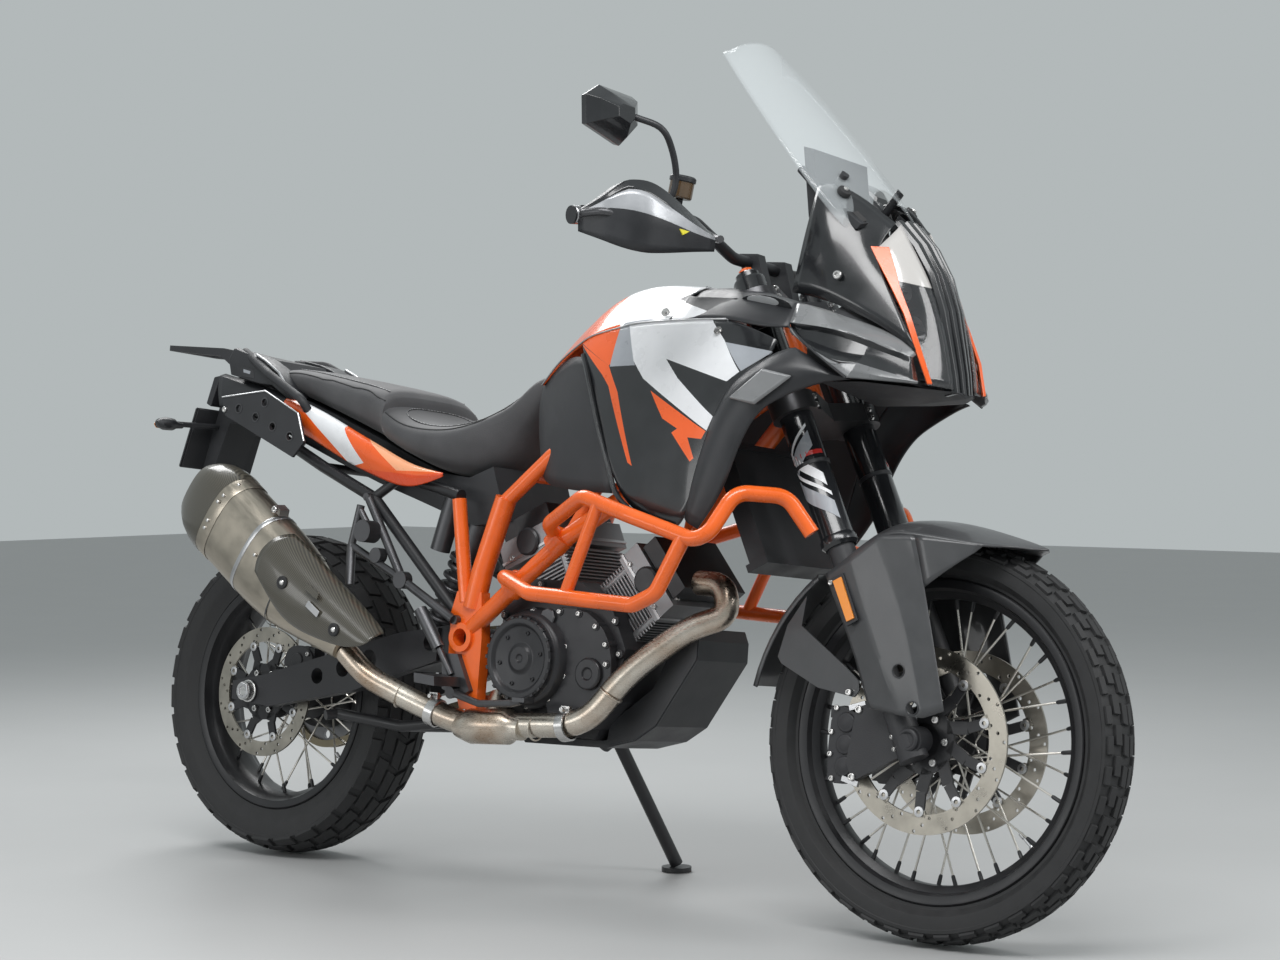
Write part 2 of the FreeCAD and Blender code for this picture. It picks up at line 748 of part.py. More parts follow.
# Engine

CRANK = (800.0, 440.0)
FRONT_BANK = 50.0
REAR_BANK = -25.0


@cache
def crankcase():
    outline = [(662, 356), (704, 318), (900, 318), (952, 372), (968, 470), (930, 545),
               (850, 590), (740, 592), (668, 540)]
    case = side_slab(outline, -128, 128)
    sump = side_slab([(706, 330), (900, 330), (884, 298), (720, 298)], -95, 95)
    shaft = barrel(COUNTERSHAFT[0], COUNTERSHAFT[1], 14, 60, CHAIN_Y + 6)
    whole = joined([case, sump, shaft])
    hollow = barrel(COUNTERSHAFT[0], COUNTERSHAFT[1], 62, CHAIN_Y - 22, 130)
    run = side_slab([(560, 380), (700, 412), (700, 538), (560, 530)], CHAIN_Y - 22, 130)
    ring = joined([hollow, run])
    whole = whole.cut(ring)
    sprocket = barrel(COUNTERSHAFT[0], COUNTERSHAFT[1],
                      pitch_radius(FRONT_TEETH) - ROLLER_RADIUS - 1, CHAIN_Y - 3.5, CHAIN_Y + 3.5)
    return joined([whole, sprocket, shaft] + stand_bracket()).cut(frame())


def bank_box(angle, low, high, half_along, half_y):
    """Block square to a cylinder bank's axis."""
    block = box(-half_along, half_along, -half_y, half_y, low, high)
    block.rotate(V(0, 0, 0), V(0, 1, 0), angle)
    block.translate(V(CRANK[0], 0, CRANK[1]))
    return block


@cache
def cylinders():
    banks = []
    for angle in (FRONT_BANK, REAR_BANK):
        parts = [bank_box(angle, 136, 215, 64, 82), bank_box(angle, 215, 270, 74, 104),
                 bank_box(angle, 270, 305, 62, 98)]
        for level in range(5):
            parts.append(bank_box(angle, 150 + 13 * level, 154 + 13 * level, 70, 90))
        banks.append(joined(parts))
    whole = Part.makeCompound(banks)
    return whole.cut(crankcase()).cut(frame())


@cache
def engine_covers():
    """Clutch cover on the right, generator cover and sprocket cover on the left."""
    clutch = turned([(0, -128), (94, -128), (94, -150), (86, -168), (80, -170), (76, -182),
                     (0, -182)], V(757, 0, 440))
    lower = side_slab([(800, 318), (930, 340), (956, 400), (950, 470), (880, 540), (800, 540)],
                      -150, -128)
    right = joined([clutch, lower])
    generator = turned([(0, 128), (88, 128), (88, 150), (78, 164), (0, 166)], V(845, 0, 445))
    cap = side_slab([(640, 420), (690, 396), (760, 420), (760, 540), (690, 552), (640, 530)],
                    128.2, 139)
    left = joined([generator, cap])
    return Part.makeCompound([right, left]).cut(frame())


@cache
def radiator():
    core = fork_slab([(-128, -150), (-128, 150), (-90, 150), (-90, -150)], 760, 985)
    rim_low = fork_slab([(-132, -158), (-132, 158), (-86, 158), (-86, -158)], 752, 766)
    rim_high = fork_slab([(-132, -158), (-132, 158), (-86, 158), (-86, -158)], 978, 990)
    brackets = [rod((1096, side * 88, 862), (1168, side * 104, 834), 9) for side in (-1, 1)]
    return joined([core, rim_low, rim_high] + brackets).cut(frame())


@cache
def skid_plate():
    outer = [(1088, 516), (1098, 494), (1098, 458), (1014, 332), (968, 302), (900, 284), (700, 280),
             (690, 292), (890, 297), (958, 314), (1004, 342), (1086, 464), (1086, 490), (1078, 510)]
    parts = [side_slab(outer, -78, 78)]
    cheek = [(1088, 514), (1096, 494), (1096, 460), (1012, 334), (966, 304), (900, 288), (906, 330),
             (1000, 400), (1048, 492)]
    for side in (-1, 1):
        parts.append(side_slab(cheek, side * 74, side * 80))
    return joined(parts).cut(exhaust_pipes()).cut(crankcase())


@cache
def exhaust_pipes():
    header = [(1070, -50, 600), (1132, -56, 598), (1150, -64, 542), (1086, -92, 516),
              (985, -135, 430), (910, -158, 326), (625, -170, 306), (520, -186, 338),
              (405, -216, 384), (352, -228, 432)]
    pipe = tube(header, 23, 60)
    collector = rod((740, -169, 311), (640, -170, 306), 33)
    clamps = [rod((878, -164, 319), (866, -167, 317), 28.5), rod((560, -180, 325), (548, -182, 329), 28.5)]
    joints = [pipe, collector] + clamps
    return joined(joints).cut(cylinders()).cut(frame()).cut(engine_covers()).cut(crankcase())


# Silencer

SILENCER_FRONT = V(352, -236, 446)
SILENCER_REAR = V(-78, -236, 738)


SILENCER_OUTLINE = [(-92, -14), (-84, 28), (-50, 52), (48, 54), (84, 30), (92, -16), (74, -50),
                    (-66, -52)]


def silencer_section(share, scale_up, scale_out):
    axis = SILENCER_REAR - SILENCER_FRONT
    length = axis.Length
    axis.normalize()
    across = V(0, -1, 0)
    up = across.cross(axis)
    if up.z < 0:
        up = up * -1
    centre = SILENCER_FRONT + axis * (share * length)
    points = [centre + up * (a * scale_up) + across * (b * scale_out)
              for a, b in SILENCER_OUTLINE]
    return Part.makePolygon(points + points[:1])


def silencer_loft(stations):
    return Part.makeLoft([silencer_section(*s) for s in stations], True, True)


@cache
def muffler():
    body = silencer_loft([(-0.02, 0.34, 0.52), (0.16, 0.62, 0.8), (0.34, 0.94, 0.98),
                          (0.5, 1.0, 1.0), (0.82, 1.0, 1.0)])
    strap = silencer_loft([(0.70, 1.04, 1.06), (0.735, 1.04, 1.06)])
    return joined([body, strap]).cut(exhaust_pipes())


@cache
def muffler_trim():
    """Carbon end cap, with the outlet, and the carbon heat shield by the rider's foot."""
    cap = silencer_loft([(0.82, 1.03, 1.03), (0.97, 0.92, 0.9), (1.02, 0.66, 0.66)])
    outlet = silencer_loft([(0.93, 0.4, 0.5), (1.03, 0.4, 0.5)])
    cap = cap.cut(outlet)
    cover = silencer_loft([(0.02, 0.56, 0.98), (0.2, 0.86, 1.06), (0.46, 1.03, 1.06)])
    inner_side = box(-200, 500, -232, -100, 300, 900)
    cover = cover.cut(inner_side)
    return Part.makeCompound([cap, cover]).cut(muffler()).cut(exhaust_pipes())


# Bodywork

@cache
def fuel_tank():
    sections = [
        (688, [(0, 976), (40, 972), (66, 940), (70, 872), (0, 868)]),
        (760, [(0, 1042), (66, 1036), (112, 970), (120, 850), (0, 850)]),
        (850, [(0, 1112), (96, 1100), (156, 1032), (166, 850), (0, 850)]),
        (930, [(0, 1150), (110, 1143), (186, 1046), (200, 850), (0, 850)]),
        (1050, [(0, 1146), (112, 1138), (205, 1056), (212, 850), (0, 850)])]
    body = symmetric_loft(sections)
    neck = fork_rod(960, 1330, 62)
    cap_seat = Part.makeCylinder(34, 60, V(980, 0, 1140), V(0, 0, 1))
    return body.cut(frame()).cut(neck).cut(cap_seat)


@cache
def fuel_cap():
    cap = Part.makeCylinder(33, 14, V(980, 0, 1141), V(0, 0, 1))
    x, z = CAP_HINGE
    arm = box(x - 18, x, -8, 8, z - 3, z + 3)
    return joined([cap, arm, barrel(x, z, 5, -14, 14)])


@cache
def knee_covers():
    """Matt panels between the tank's crease and the seat."""
    panel = flank_loft([
        (700, 60, [(74, 940), (104, 850), (108, 800)]),
        (792, 100, [(138, 976), (182, 880), (188, 770)]),
        (880, 140, [(176, 1030), (206, 900), (212, 760)]),
        (985, 160, [(208, 900), (226, 830), (226, 748)])])
    return pair(panel).cut(fuel_tank()).cut(frame())


@cache
def tank_panels():
    panel = flank_loft([
        (962, 200, [(206, 1046), (222, 950), (230, 902)]),
        (1010, 200, [(208, 1054), (230, 930), (244, 790)]),
        (1080, 200, [(212, 1058), (236, 930), (248, 738)]),
        (1180, 208, [(218, 1058), (244, 900), (250, 690)]),
        (1215, 214, [(222, 1056), (248, 900), (252, 700)])])
    return pair(panel).cut(fuel_tank()).cut(knee_covers())


@cache
def shrouds():
    """Wings each side of the steering head, out to the nose."""
    wing = flank_loft([
        (962, 178, [(186, 1082), (206, 1050), (207, 1046.5)]),
        (1052, 172, [(178, 1110), (210, 1072), (212, 1059)]),
        (1230, 192, [(198, 1118), (222, 1062), (224, 1050)]),
        (1340, 200, [(226, 1096), (244, 1050), (240, 1000)]),
        (1440, 150, [(176, 1050), (206, 1020), (214, 962)]),
        (1530, 70, [(88, 1012), (100, 990), (96, 950)])])
    return pair(wing).cut(fuel_tank()).cut(tank_panels())


@cache
def side_spears():
    """Long panels that sweep down behind the fork, with a vent pod at the top."""
    outline = [(1215, 1049), (1340, 999), (1440, 961), (1482, 950), (1372, 936), (1300, 870),
               (1262, 760), (1210, 688), (1184, 690), (1216, 800)]
    blade = side_slab(outline, -258, -228)
    return pair(blade).cut(tank_panels()).cut(shrouds())


@cache
def nose_mask():
    """Black cowl around the headlight; hollow behind, where the fork turns."""
    outer = [
        (1372, [(100, 1128), (168, 1136), (172, 1180), (140, 1236), (120, 1236)]),
        (1420, [(96, 1040), (172, 1052), (166, 1150), (128, 1236), (92, 1240)]),
        (1470, [(78, 960), (140, 968), (130, 1090), (92, 1206), (62, 1236)]),
        (1520, [(60, 946), (104, 952), (92, 1040), (70, 1130), (48, 1140)])]
    cheeks = section_loft([(x, [(-y, z) for y, z in c]) for x, c in outer])
    chin = symmetric_loft([(1400, [(0, 936), (150, 950), (190, 946), (188, 941), (148, 940), (0, 928)]),
                           (1480, [(0, 938), (120, 952), (170, 948), (168, 943), (118, 942), (0, 930)]),
                           (1580, [(0, 946), (20, 948), (40, 948), (38, 943), (18, 940), (0, 938)])])
    return joined([cheeks, mirrored(cheeks), chin]).cut(shrouds()).cut(side_spears())


@cache
def headlight():
    sections = [
        (1400, [(0, 1236), (60, 1236), (86, 1190), (92, 1040), (70, 962), (0, 956)]),
        (1452, [(0, 1250), (52, 1244), (104, 1190), (112, 1060), (74, 958), (0, 952)]),
        (1500, [(0, 1218), (40, 1206), (80, 1140), (88, 1020), (60, 956), (0, 952)]),
        (1545, [(0, 1150), (22, 1128), (44, 1060), (50, 980), (40, 954), (0, 952)]),
        (1584, [(0, 1000), (8, 990), (12, 975), (14, 962), (12, 955), (0, 953)])]
    return symmetric_loft(sections).cut(nose_mask())


@cache
def windscreen():
    """Clear curved sheet, 4 mm, leaning back at about 45 degrees."""
    rows = [(1478, 1246, 92, 12), (1432, 1300, 150, 44), (1330, 1400, 164, 60),
            (1220, 1505, 138, 46), (1126, 1596, 92, 26), (1106, 1612, 60, 14)]
    outer, inner = [], []
    for x, z, width, drop in rows:
        for bucket, shift in ((outer, 0.0), (inner, 4.0)):
            a = V(x - drop * 0.7 - shift * 0.7, -width, z - drop * 0.7 - shift * 0.7)
            b = V(x - shift * 0.7, 0, z - shift * 0.7)
            c = V(a.x, width, a.z)
            bucket.append((a, b, c))
    rings = []
    for (a, b, c), (d, e, f) in zip(outer, inner):
        front = Part.Arc(a, b, c).toShape()
        back = Part.Arc(f, e, d).toShape()
        rings.append(Part.Wire([front, Part.LineSegment(c, f).toShape(), back,
                                Part.LineSegment(d, a).toShape()]))
    return Part.makeLoft(rings, True, True).cut(headlight()).cut(nose_mask())


@cache
def dash():
    """Display behind the screen on its two rails."""
    screen = side_slab([(1270, 1392), (1292, 1386), (1310, 1270), (1290, 1262)], -88, 88)
    parts = [screen]
    for side in (-1, 1):
        y = side * 92
        parts.append(tube([(1424, y, 1176), (1390, y, 1236), (1270, y, 1350)], 8, 40))
        parts.append(rod((1330, y, 1290), (1367, y, 1335.9), 8))
    return joined(parts).cut(headlight()).cut(nose_mask()).cut(windscreen())


SEAT_FRONT = [
    (672, 994, 40, 958), (640, 984, 62, 880), (600, 940, 92, 806), (540, 903, 134, 784),
    (470, 890, 152, 792), (390, 898, 158, 822), (330, 930, 150, 846)]
SEAT_REAR = [
    (329, 950, 146, 846.5), (300, 968, 140, 858), (180, 990, 128, 902), (60, 1008, 112, 942),
    (-10, 1012, 96, 960), (-34, 1004, 84, 968)]


def seat(rows):
    sections = []
    for x, top, half, low in rows:
        sections.append((x, [(0, top), (half * 0.55, top - 3), (half * 0.88, top - 22),
                             (half, (top + low) / 2 - 10), (half * 0.92, low), (0, low)]))
    return symmetric_loft(sections)


@cache
def rider_seat():
    return seat(SEAT_FRONT).cut(fuel_tank()).cut(knee_covers())


@cache
def passenger_seat():
    return seat(SEAT_REAR)


@cache
def seat_tray():
    """Black moulded tray under both seats, on the subframe."""
    top = [(x, low - RUNNING) for x, _, _, low in SEAT_FRONT[2:]]
    top += [(x, low - RUNNING) for x, _, _, low in SEAT_REAR[1:]]
    under = [(-150, 966), (-160, 930), (0, 880), (180, 812), (300, 770), (400, 740), (560, 690),
             (640, 700)]
    tray = side_slab(top + under, -110, 110)
    tray = tray.cut(frame()).cut(subframe()).cut(rear_shock()).cut(fuel_tank())
    return tray.cut(cylinders()).cut(tail_panels())


@cache
def tail_panels():
    outline = [(520, 783), (430, 750), (255, 802), (100, 872), (-20, 912), (-170, 938),
               (-206, 1004), (-40, 964), (57, 938), (180, 898), (330, 842), (440, 794)]
    panel = flank_loft([
        (520, 146, [(166, 786), (168, 783), (166, 780)]),
        (430, 148, [(164, 795), (170, 775), (160, 752)]),
        (255, 134, [(152, 866), (164, 840), (150, 803)]),
        (60, 116, [(140, 936), (150, 915), (136, 884)]),
        (-206, 84, [(92, 1000), (100, 970), (92, 930)])])
    return pair(panel).cut(subframe()).cut(frame()).cut(passenger_seat()).cut(rider_seat())


@cache
def rear_rack():
    """Top plate with grab handles and the pannier brackets below it."""
    plate = side_slab([(-36, 1000), (-60, 1030), (-230, 1060), (-404, 1070), (-404, 1058), (-240, 1044),
                       (-170, 1000), (-160, 967), (-60, 967)], -70, 70)
    plate = plate.cut(box(-380, -260, -40, 40, 1000, 1100))
    parts = [plate]
    for side in (-1, 1):
        parts.append(tube([(-150, side * 66, 1040), (-110, side * 120, 1044), (0, side * 150, 990),
                           (110, side * 158, 935), (120, side * 140, 905)], 9, 26))
        bracket = [(142, 846), (112, 815), (-96, 902), (-110, 940), (20, 952), (120, 905)]
        arm = side_slab(bracket, side * 170, side * 176)
        for x, z in ((100, 858), (48, 878), (-4, 898), (-56, 916), (20, 928)):
            arm = arm.cut(barrel(x, z, 8, side * 165, side * 180))
        parts.append(arm)
        parts.append(barrel(90, 885, 8, side * 140, side * 172))
        parts.append(barrel(-60, 930, 8, side * 120, side * 172))
    return joined(parts).cut(tail_panels()).cut(passenger_seat()).cut(seat_tray()).cut(subframe())


@cache
def plate_hanger():
    """Rear mudguard arm with a blank number plate and the tail light's seat."""
    arm = [(-150, 950), (-206, 1000), (-240, 1000), (-262, 930), (-300, 800), (-290, 770),
           (-268, 790), (-225, 900), (-150, 930)]
    parts = [side_slab(arm, -42, 42)]
    plate = side_slab([(-302, 800), (-262, 925), (-267, 927), (-307, 802)], -100, 100)
    parts.append(plate)
    for side in (-1, 1):
        parts.append(rod((-262, side * 40, 892), (-256, side * 190, 884), 6))
    return joined(parts).cut(tail_panels()).cut(rear_rack()).cut(seat_tray()).cut(subframe())


@cache
def tail_light():
    return side_slab([(-241, 1000), (-256, 998), (-276, 940), (-264, 936)], -62, 62).cut(plate_hanger())


def indicator(x, y, z):
    return Part.makeSphere(16, V(x, y, z))


@cache
def indicators():
    rear = [indicator(-254, side * 204, 882) for side in (-1, 1)]
    front = []
    for side in (-1, 1):
        lens = section_loft([(1290, [(side * 224, 1098), (side * 232, 1084), (side * 222, 1078)]),
                             (1336, [(side * 234, 1100), (side * 246, 1082), (side * 232, 1072)]),
                             (1370, [(side * 218, 1086), (side * 232, 1074), (side * 222, 1068)])])
        front.append(lens)
    return Part.makeCompound(rear + front).cut(plate_hanger()).cut(shrouds())


# Controls and stands

@cache
def foot_controls():
    """Rider's pegs, rear brake pedal with its cylinder, and the gear lever."""
    solids = []
    y_face = FRAME_INNER_Y + FRAME_PLATE
    for side in (-1, 1):
        bracket = side_slab([(560, 440), (600, 440), (636, 372), (610, 356), (566, 372)],
                            side * y_face, side * (y_face + 12))
        peg = side_slab([(560, 400), (612, 396), (614, 378), (562, 382)], side * y_face,
                        side * 252)
        parts = [bracket, peg]
        if side < 0:
            parts.append(rod((505, side * 186, 520), (560, side * 186, 448), 13))
            parts.append(rod((560, side * 186, 448), (590, side * 180, 400), 6))
            parts.append(tube([(600, side * 184, 366), (680, side * 196, 350), (770, side * 204, 356),
                               (800, side * 214, 362)], 7, 30))
            parts.append(rod((600, side * 168, 370), (600, side * 192, 366), 12))
            parts.append(box(786, 816, side * 226, side * 196, 360, 368))
        else:
            parts.append(tube([(600, side * 184, 390), (700, side * 196, 388), (770, side * 200, 380)],
                              6, 30))
            parts.append(rod((600, side * 168, 390), (600, side * 192, 390), 11))
            parts.append(rod((770, side * 190, 380), (770, side * 232, 380), 9))
        solids.append(joined(parts))
    return Part.makeCompound(solids).cut(frame()).cut(engine_covers()).cut(exhaust_pipes())


@cache
def passenger_pegs():
    solids = []
    for side in (-1, 1):
        y = side * 178
        parts = [rod((318, side * 158, 738), (445, y, 576), 9), rod((445, y, 576), (584, y, 505), 9),
                 rod((445, y, 576), (300, y, 640), 8), rod((318, y, 720), (300, y, 640), 8),
                 barrel(375, 622, 15, side * 168, side * 188),
                 barrel(445, 576, 17, side * 168, side * 188),
                 rod((300, y, 640), (320, side * 196, 560), 9),
                 rod((584, side * 164, 505), (584, y, 505), 9),
                 rod((318, side * 142, 738), (318, side * 166, 738), 8)]
        if side < 0:
            parts.append(barrel(352, 668, 22, side * 172, side * 206))
            parts.append(rod((318, y, 710), (352, y, 668), 7))
        solids.append(joined(parts))
    return Part.makeCompound(solids).cut(subframe()).cut(frame())


def lean_turn():
    return FreeCAD.Rotation(V(1, 0, 0), -LEAN)


def floor_point(x, y, height=0.0):
    """Upright-bike place of a point over the floor as the leaning bike stands on it."""
    return lean_turn().inverted().multVec(V(x, y, height))


@cache
def side_stand():
    foot = floor_point(STAND_FOOT[0], STAND_FOOT[1], 14)
    leg = rod(STAND_PIVOT, foot, 13)
    pad = Part.makeCylinder(30, 9, floor_point(STAND_FOOT[0], STAND_FOOT[1], 0),
                            lean_turn().inverted().multVec(V(0, 0, 1)))
    half = KNUCKLE / 2
    knuckle = Part.makeCylinder(20, KNUCKLE, STAND_PIVOT - stand_axis() * half, stand_axis())
    bore = Part.makeCylinder(STAND_PIN + RUNNING, 80, STAND_PIVOT - stand_axis() * 40, stand_axis())
    return joined([knuckle, leg, pad]).cut(bore)


def stand_directions():
    """Where the side stand's leg points when it is down and when it is folded."""
    down = floor_point(STAND_FOOT[0], STAND_FOOT[1], 14) - STAND_PIVOT
    return down, V(-0.985, 0.16, 0.08)


def stand_axis():
    """Hinge line that takes the leg from the floor to alongside the swingarm."""
    down, back = stand_directions()
    axis = down.cross(back)
    axis.normalize()
    return axis


def stand_range():
    down, back = stand_directions()
    return math.degrees(down.getAngle(back))


def stand_bracket():
    """Lug under the engine that carries the side stand, with its pin and the pin's head."""
    block = side_slab([(705, 352), (772, 352), (757, 283), (715, 283)], 95, 128)
    axis = stand_axis()
    inner = KNUCKLE / 2 + RUNNING
    ear = Part.makeCylinder(20, 22, STAND_PIVOT - axis * (inner + 22), axis)
    pin = Part.makeCylinder(STAND_PIN, 2 * inner + 20, STAND_PIVOT - axis * (inner + 16), axis)
    head = Part.makeCylinder(13, 6, STAND_PIVOT + axis * inner, axis)
    return [block, ear, pin, head]


@cache
def centre_stand():
    parts = []
    x, z = CENTRE_PIVOT
    for side in (-1, 1):
        parts.append(tube([(x, side * 109, z), (420, side * 124, 290), (254, side * 141, 305)], 11, 60))
        parts.append(barrel(x, z, 17, side * 102, side * 122))
        parts.append(rod((262, side * 139, 305), (250, side * 166, 300), 10))
    parts.append(rod((420, -124, 290), (420, 124, 290), 10))
    whole = joined(parts)
    return whole.cut(barrel(x, z, STAND_PIN + RUNNING, -200, 200))


@cache
def crash_bars():
    solids = []
    for side in (-1, 1):
        upper = tube([(836, side * 196, 676), (852, side * 232, 690), (975, side * 288, 738),
                      (1090, side * 300, 706), (1256, side * 300, 660), (1292, side * 262, 752),
                      (1350, side * 190, 752), (1392, side * 168, 690)], 14, 40)
        lower = tube([(740, side * 196, 588), (752, side * 236, 590), (860, side * 284, 560),
                      (1110, side * 296, 548), (1160, side * 298, 570), (1216, side * 300, 672)], 14, 40)
        strut = rod((946, side * 284, 562), (1016, side * 294, 726), 12)
        clamp_high = Part.makeCylinder(24, 30, V(828, side * 184, 652), V(0.75, side * 0.03, 0.66))
        clamp_low = Part.makeCylinder(24, 30, V(724, side * 177, 568), V(0.8, side * 0.05, 0.6))
        solids.append(joined([upper, lower, strut, clamp_high, clamp_low]))
    return Part.makeCompound(solids).cut(frame())


# Which piece belongs to which body; the steered pieces turn with the fork

FIXED = {
    "frame_side_right": frame_side_right, "frame_side_left": frame_side_left,
    "frame_rails_right": frame_rails_right, "frame_rails_left": frame_rails_left,
    "steering_head": steering_head, "subframe": subframe, "swingarm_cross": swingarm_cross,
    "swingarm_right": swingarm_right, "swingarm_left": swingarm_left, "rear_axle": rear_axle,
    "rear_shock": rear_shock, "crankcase": crankcase, "cylinders": cylinders,
    "engine_covers": engine_covers, "radiator": radiator, "skid_plate": skid_plate,
    "exhaust_pipes": exhaust_pipes, "muffler": muffler, "muffler_trim": muffler_trim,
    "crash_bars": crash_bars, "fuel_tank": fuel_tank, "knee_covers": knee_covers,
    "tank_panels": tank_panels, "shrouds": shrouds, "side_spears": side_spears,
    "nose_mask": nose_mask, "headlight": headlight, "windscreen": windscreen, "dash": dash,
    "rider_seat": rider_seat, "passenger_seat": passenger_seat, "seat_tray": seat_tray,
    "tail_panels": tail_panels, "rear_rack": rear_rack, "plate_hanger": plate_hanger,
    "tail_light": tail_light, "indicators": indicators, "foot_controls": foot_controls,
    "passenger_pegs": passenger_pegs, "chain": chain, "rear_caliper": rear_caliper}
REAR_WHEEL = {"rear_wheel": rear_wheel, "rear_tyre": rear_tyre, "rear_disc": rear_disc,
              "rear_sprocket": rear_sprocket}
STEERED = {
    "fork_lowers": fork_lowers, "fork_outer_tubes": fork_outer_tubes,
    "triple_clamps": triple_clamps, "front_fender": front_fender,
    "front_calipers": front_calipers, "handlebar": handlebar, "bar_controls": bar_controls,
    "hand_guards": hand_guards, "mirrors": mirrors}
FRONT_WHEEL = {"front_wheel": front_wheel, "front_tyre": front_tyre, "front_discs": front_discs}
STANDS = {"side_stand": side_stand, "centre_stand": centre_stand, "fuel_cap": fuel_cap}


def steer_turn():
    """Placement that turns the steered pieces about the steering axis."""
    turn = FreeCAD.Rotation(steer_axis(), STEER)
    return FreeCAD.Placement(V(0, 0, 0), turn, ground_point())


def lean_placement():
    return FreeCAD.Placement(V(0, 0, 0), lean_turn())


def leaned(shape, steered):
    moved = shape.copy()
    if steered:
        moved.transformShape(steer_turn().toMatrix())
    moved.transformShape(lean_placement().toMatrix())
    return moved


def centring(shapes):
    """Shift that puts the origin under the middle of the whole bike, on the floor."""
    low, high = V(1e9, 1e9, 1e9), V(-1e9, -1e9, -1e9)
    for shape in shapes:
        for point in shape.tessellate(0.5)[0]:
            low = V(min(low.x, point.x), min(low.y, point.y), min(low.z, point.z))
            high = V(max(high.x, point.x), max(high.y, point.y), max(high.z, point.z))
    return V(-(low.x + high.x) / 2, -(low.y + high.y) / 2, -low.z)


def build():
    shapes = {}
    steered = dict(STEERED, **FRONT_WHEEL)
    for name, make in {**FIXED, **REAR_WHEEL, **STANDS, **steered}.items():
        shapes[name] = leaned(make(), name in steered)
    shift = centring(shapes.values())
    for shape in shapes.values():
        shape.translate(shift)
    return shapes, shift


def main():
    os.makedirs("parts", exist_ok=True)
    shapes, shift = build()
    for name, shape in shapes.items():
        shape.exportStep("parts/%s.step" % name)
    print("pieces", len(shapes), "origin shift", [round(c, 2) for c in shift])


if __name__ == "__main__":
    main()
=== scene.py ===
import json
import math

import bmesh
import bpy
from mathutils import Matrix, Vector


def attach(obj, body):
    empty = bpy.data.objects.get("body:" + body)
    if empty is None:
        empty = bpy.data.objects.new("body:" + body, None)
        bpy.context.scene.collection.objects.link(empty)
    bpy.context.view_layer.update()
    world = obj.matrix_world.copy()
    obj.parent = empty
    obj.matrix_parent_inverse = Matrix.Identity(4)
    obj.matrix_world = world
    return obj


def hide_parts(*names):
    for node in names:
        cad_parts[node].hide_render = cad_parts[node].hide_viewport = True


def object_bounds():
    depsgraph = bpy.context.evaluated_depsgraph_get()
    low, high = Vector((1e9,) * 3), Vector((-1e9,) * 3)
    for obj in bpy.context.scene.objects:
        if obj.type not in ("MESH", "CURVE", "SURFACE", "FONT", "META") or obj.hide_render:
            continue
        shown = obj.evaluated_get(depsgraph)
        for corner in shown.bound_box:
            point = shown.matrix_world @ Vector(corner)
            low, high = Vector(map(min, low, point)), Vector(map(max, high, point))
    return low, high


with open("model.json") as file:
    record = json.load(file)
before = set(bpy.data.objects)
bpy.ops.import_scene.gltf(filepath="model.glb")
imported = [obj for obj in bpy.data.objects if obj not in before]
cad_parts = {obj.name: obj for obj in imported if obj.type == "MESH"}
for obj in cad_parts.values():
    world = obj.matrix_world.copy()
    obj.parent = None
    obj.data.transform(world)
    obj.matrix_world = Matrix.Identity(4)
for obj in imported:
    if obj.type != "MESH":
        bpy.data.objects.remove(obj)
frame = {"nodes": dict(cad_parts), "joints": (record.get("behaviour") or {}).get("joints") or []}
CAD_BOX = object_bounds()

# The bike is modelled upright and straight, in millimetres: +X forward, +Y left, +Z up, the
# floor at z = 0 under the rear axle. UPRIGHT leans it as the frame stands, STEERED turns the
# fork first. A wheel's SEAT is its rim's bead radius and HALF is half of the rim's width.
V = Vector
LEFT, RIGHT = (0, 1, 0), (0, -1, 0)
WHEELBASE, TRAIL, RAKE = 1580, 123, math.radians(26)
LEAN_ANGLE, STEER_ANGLE = math.radians(6), math.radians(1.5)
FRONT_RADIUS, FRONT_SEAT, FRONT_HALF = 347.5, 266.7, 27
REAR_RADIUS, REAR_SEAT, REAR_HALF = 333.5, 228.6, 54
JOINTS = {joint["name"]: joint for joint in frame["joints"]}
REAR_AXLE = V((0, 0, REAR_RADIUS))
FRONT_AXLE = V((WHEELBASE, 0, FRONT_RADIUS))
STEER_FOOT = V((WHEELBASE + TRAIL, 0, 0))
STEER_AXIS = V((-math.sin(RAKE), 0, math.cos(RAKE)))
FORK_AHEAD = V((math.cos(RAKE), 0, math.sin(RAKE)))
LEAN = Matrix.Rotation(-LEAN_ANGLE, 4, "X")
SHIFT = V(JOINTS["rear_wheel_spin"]["pos_m"]) - LEAN @ (REAR_AXLE * 0.001)
UPRIGHT = Matrix.Translation(SHIFT) @ LEAN @ Matrix.Scale(0.001, 4)
STEERED = (UPRIGHT @ Matrix.Translation(STEER_FOOT)
           @ Matrix.Rotation(STEER_ANGLE, 4, STEER_AXIS) @ Matrix.Translation(-STEER_FOOT))
STEERED_BODIES = ("steering", "front_wheel")


# Materials

def upright_coordinates(tree, scale=(1, 1, 1), shift=(0, 0, 0)):
    """Object coordinates turned back to the upright bike, in metres."""
    coord = tree.nodes.new("ShaderNodeTexCoord")
    mapping = tree.nodes.new("ShaderNodeMapping")
    back = LEAN.inverted()
    mapping.inputs["Location"].default_value = back @ -SHIFT
    mapping.inputs["Rotation"].default_value = (LEAN_ANGLE, 0, 0)
    tree.links.new(coord.outputs["Object"], mapping.inputs["Vector"])
    second = tree.nodes.new("ShaderNodeMapping")
    second.inputs["Scale"].default_value = scale
    second.inputs["Location"].default_value = shift
    tree.links.new(mapping.outputs["Vector"], second.inputs["Vector"])
    return second.outputs["Vector"]


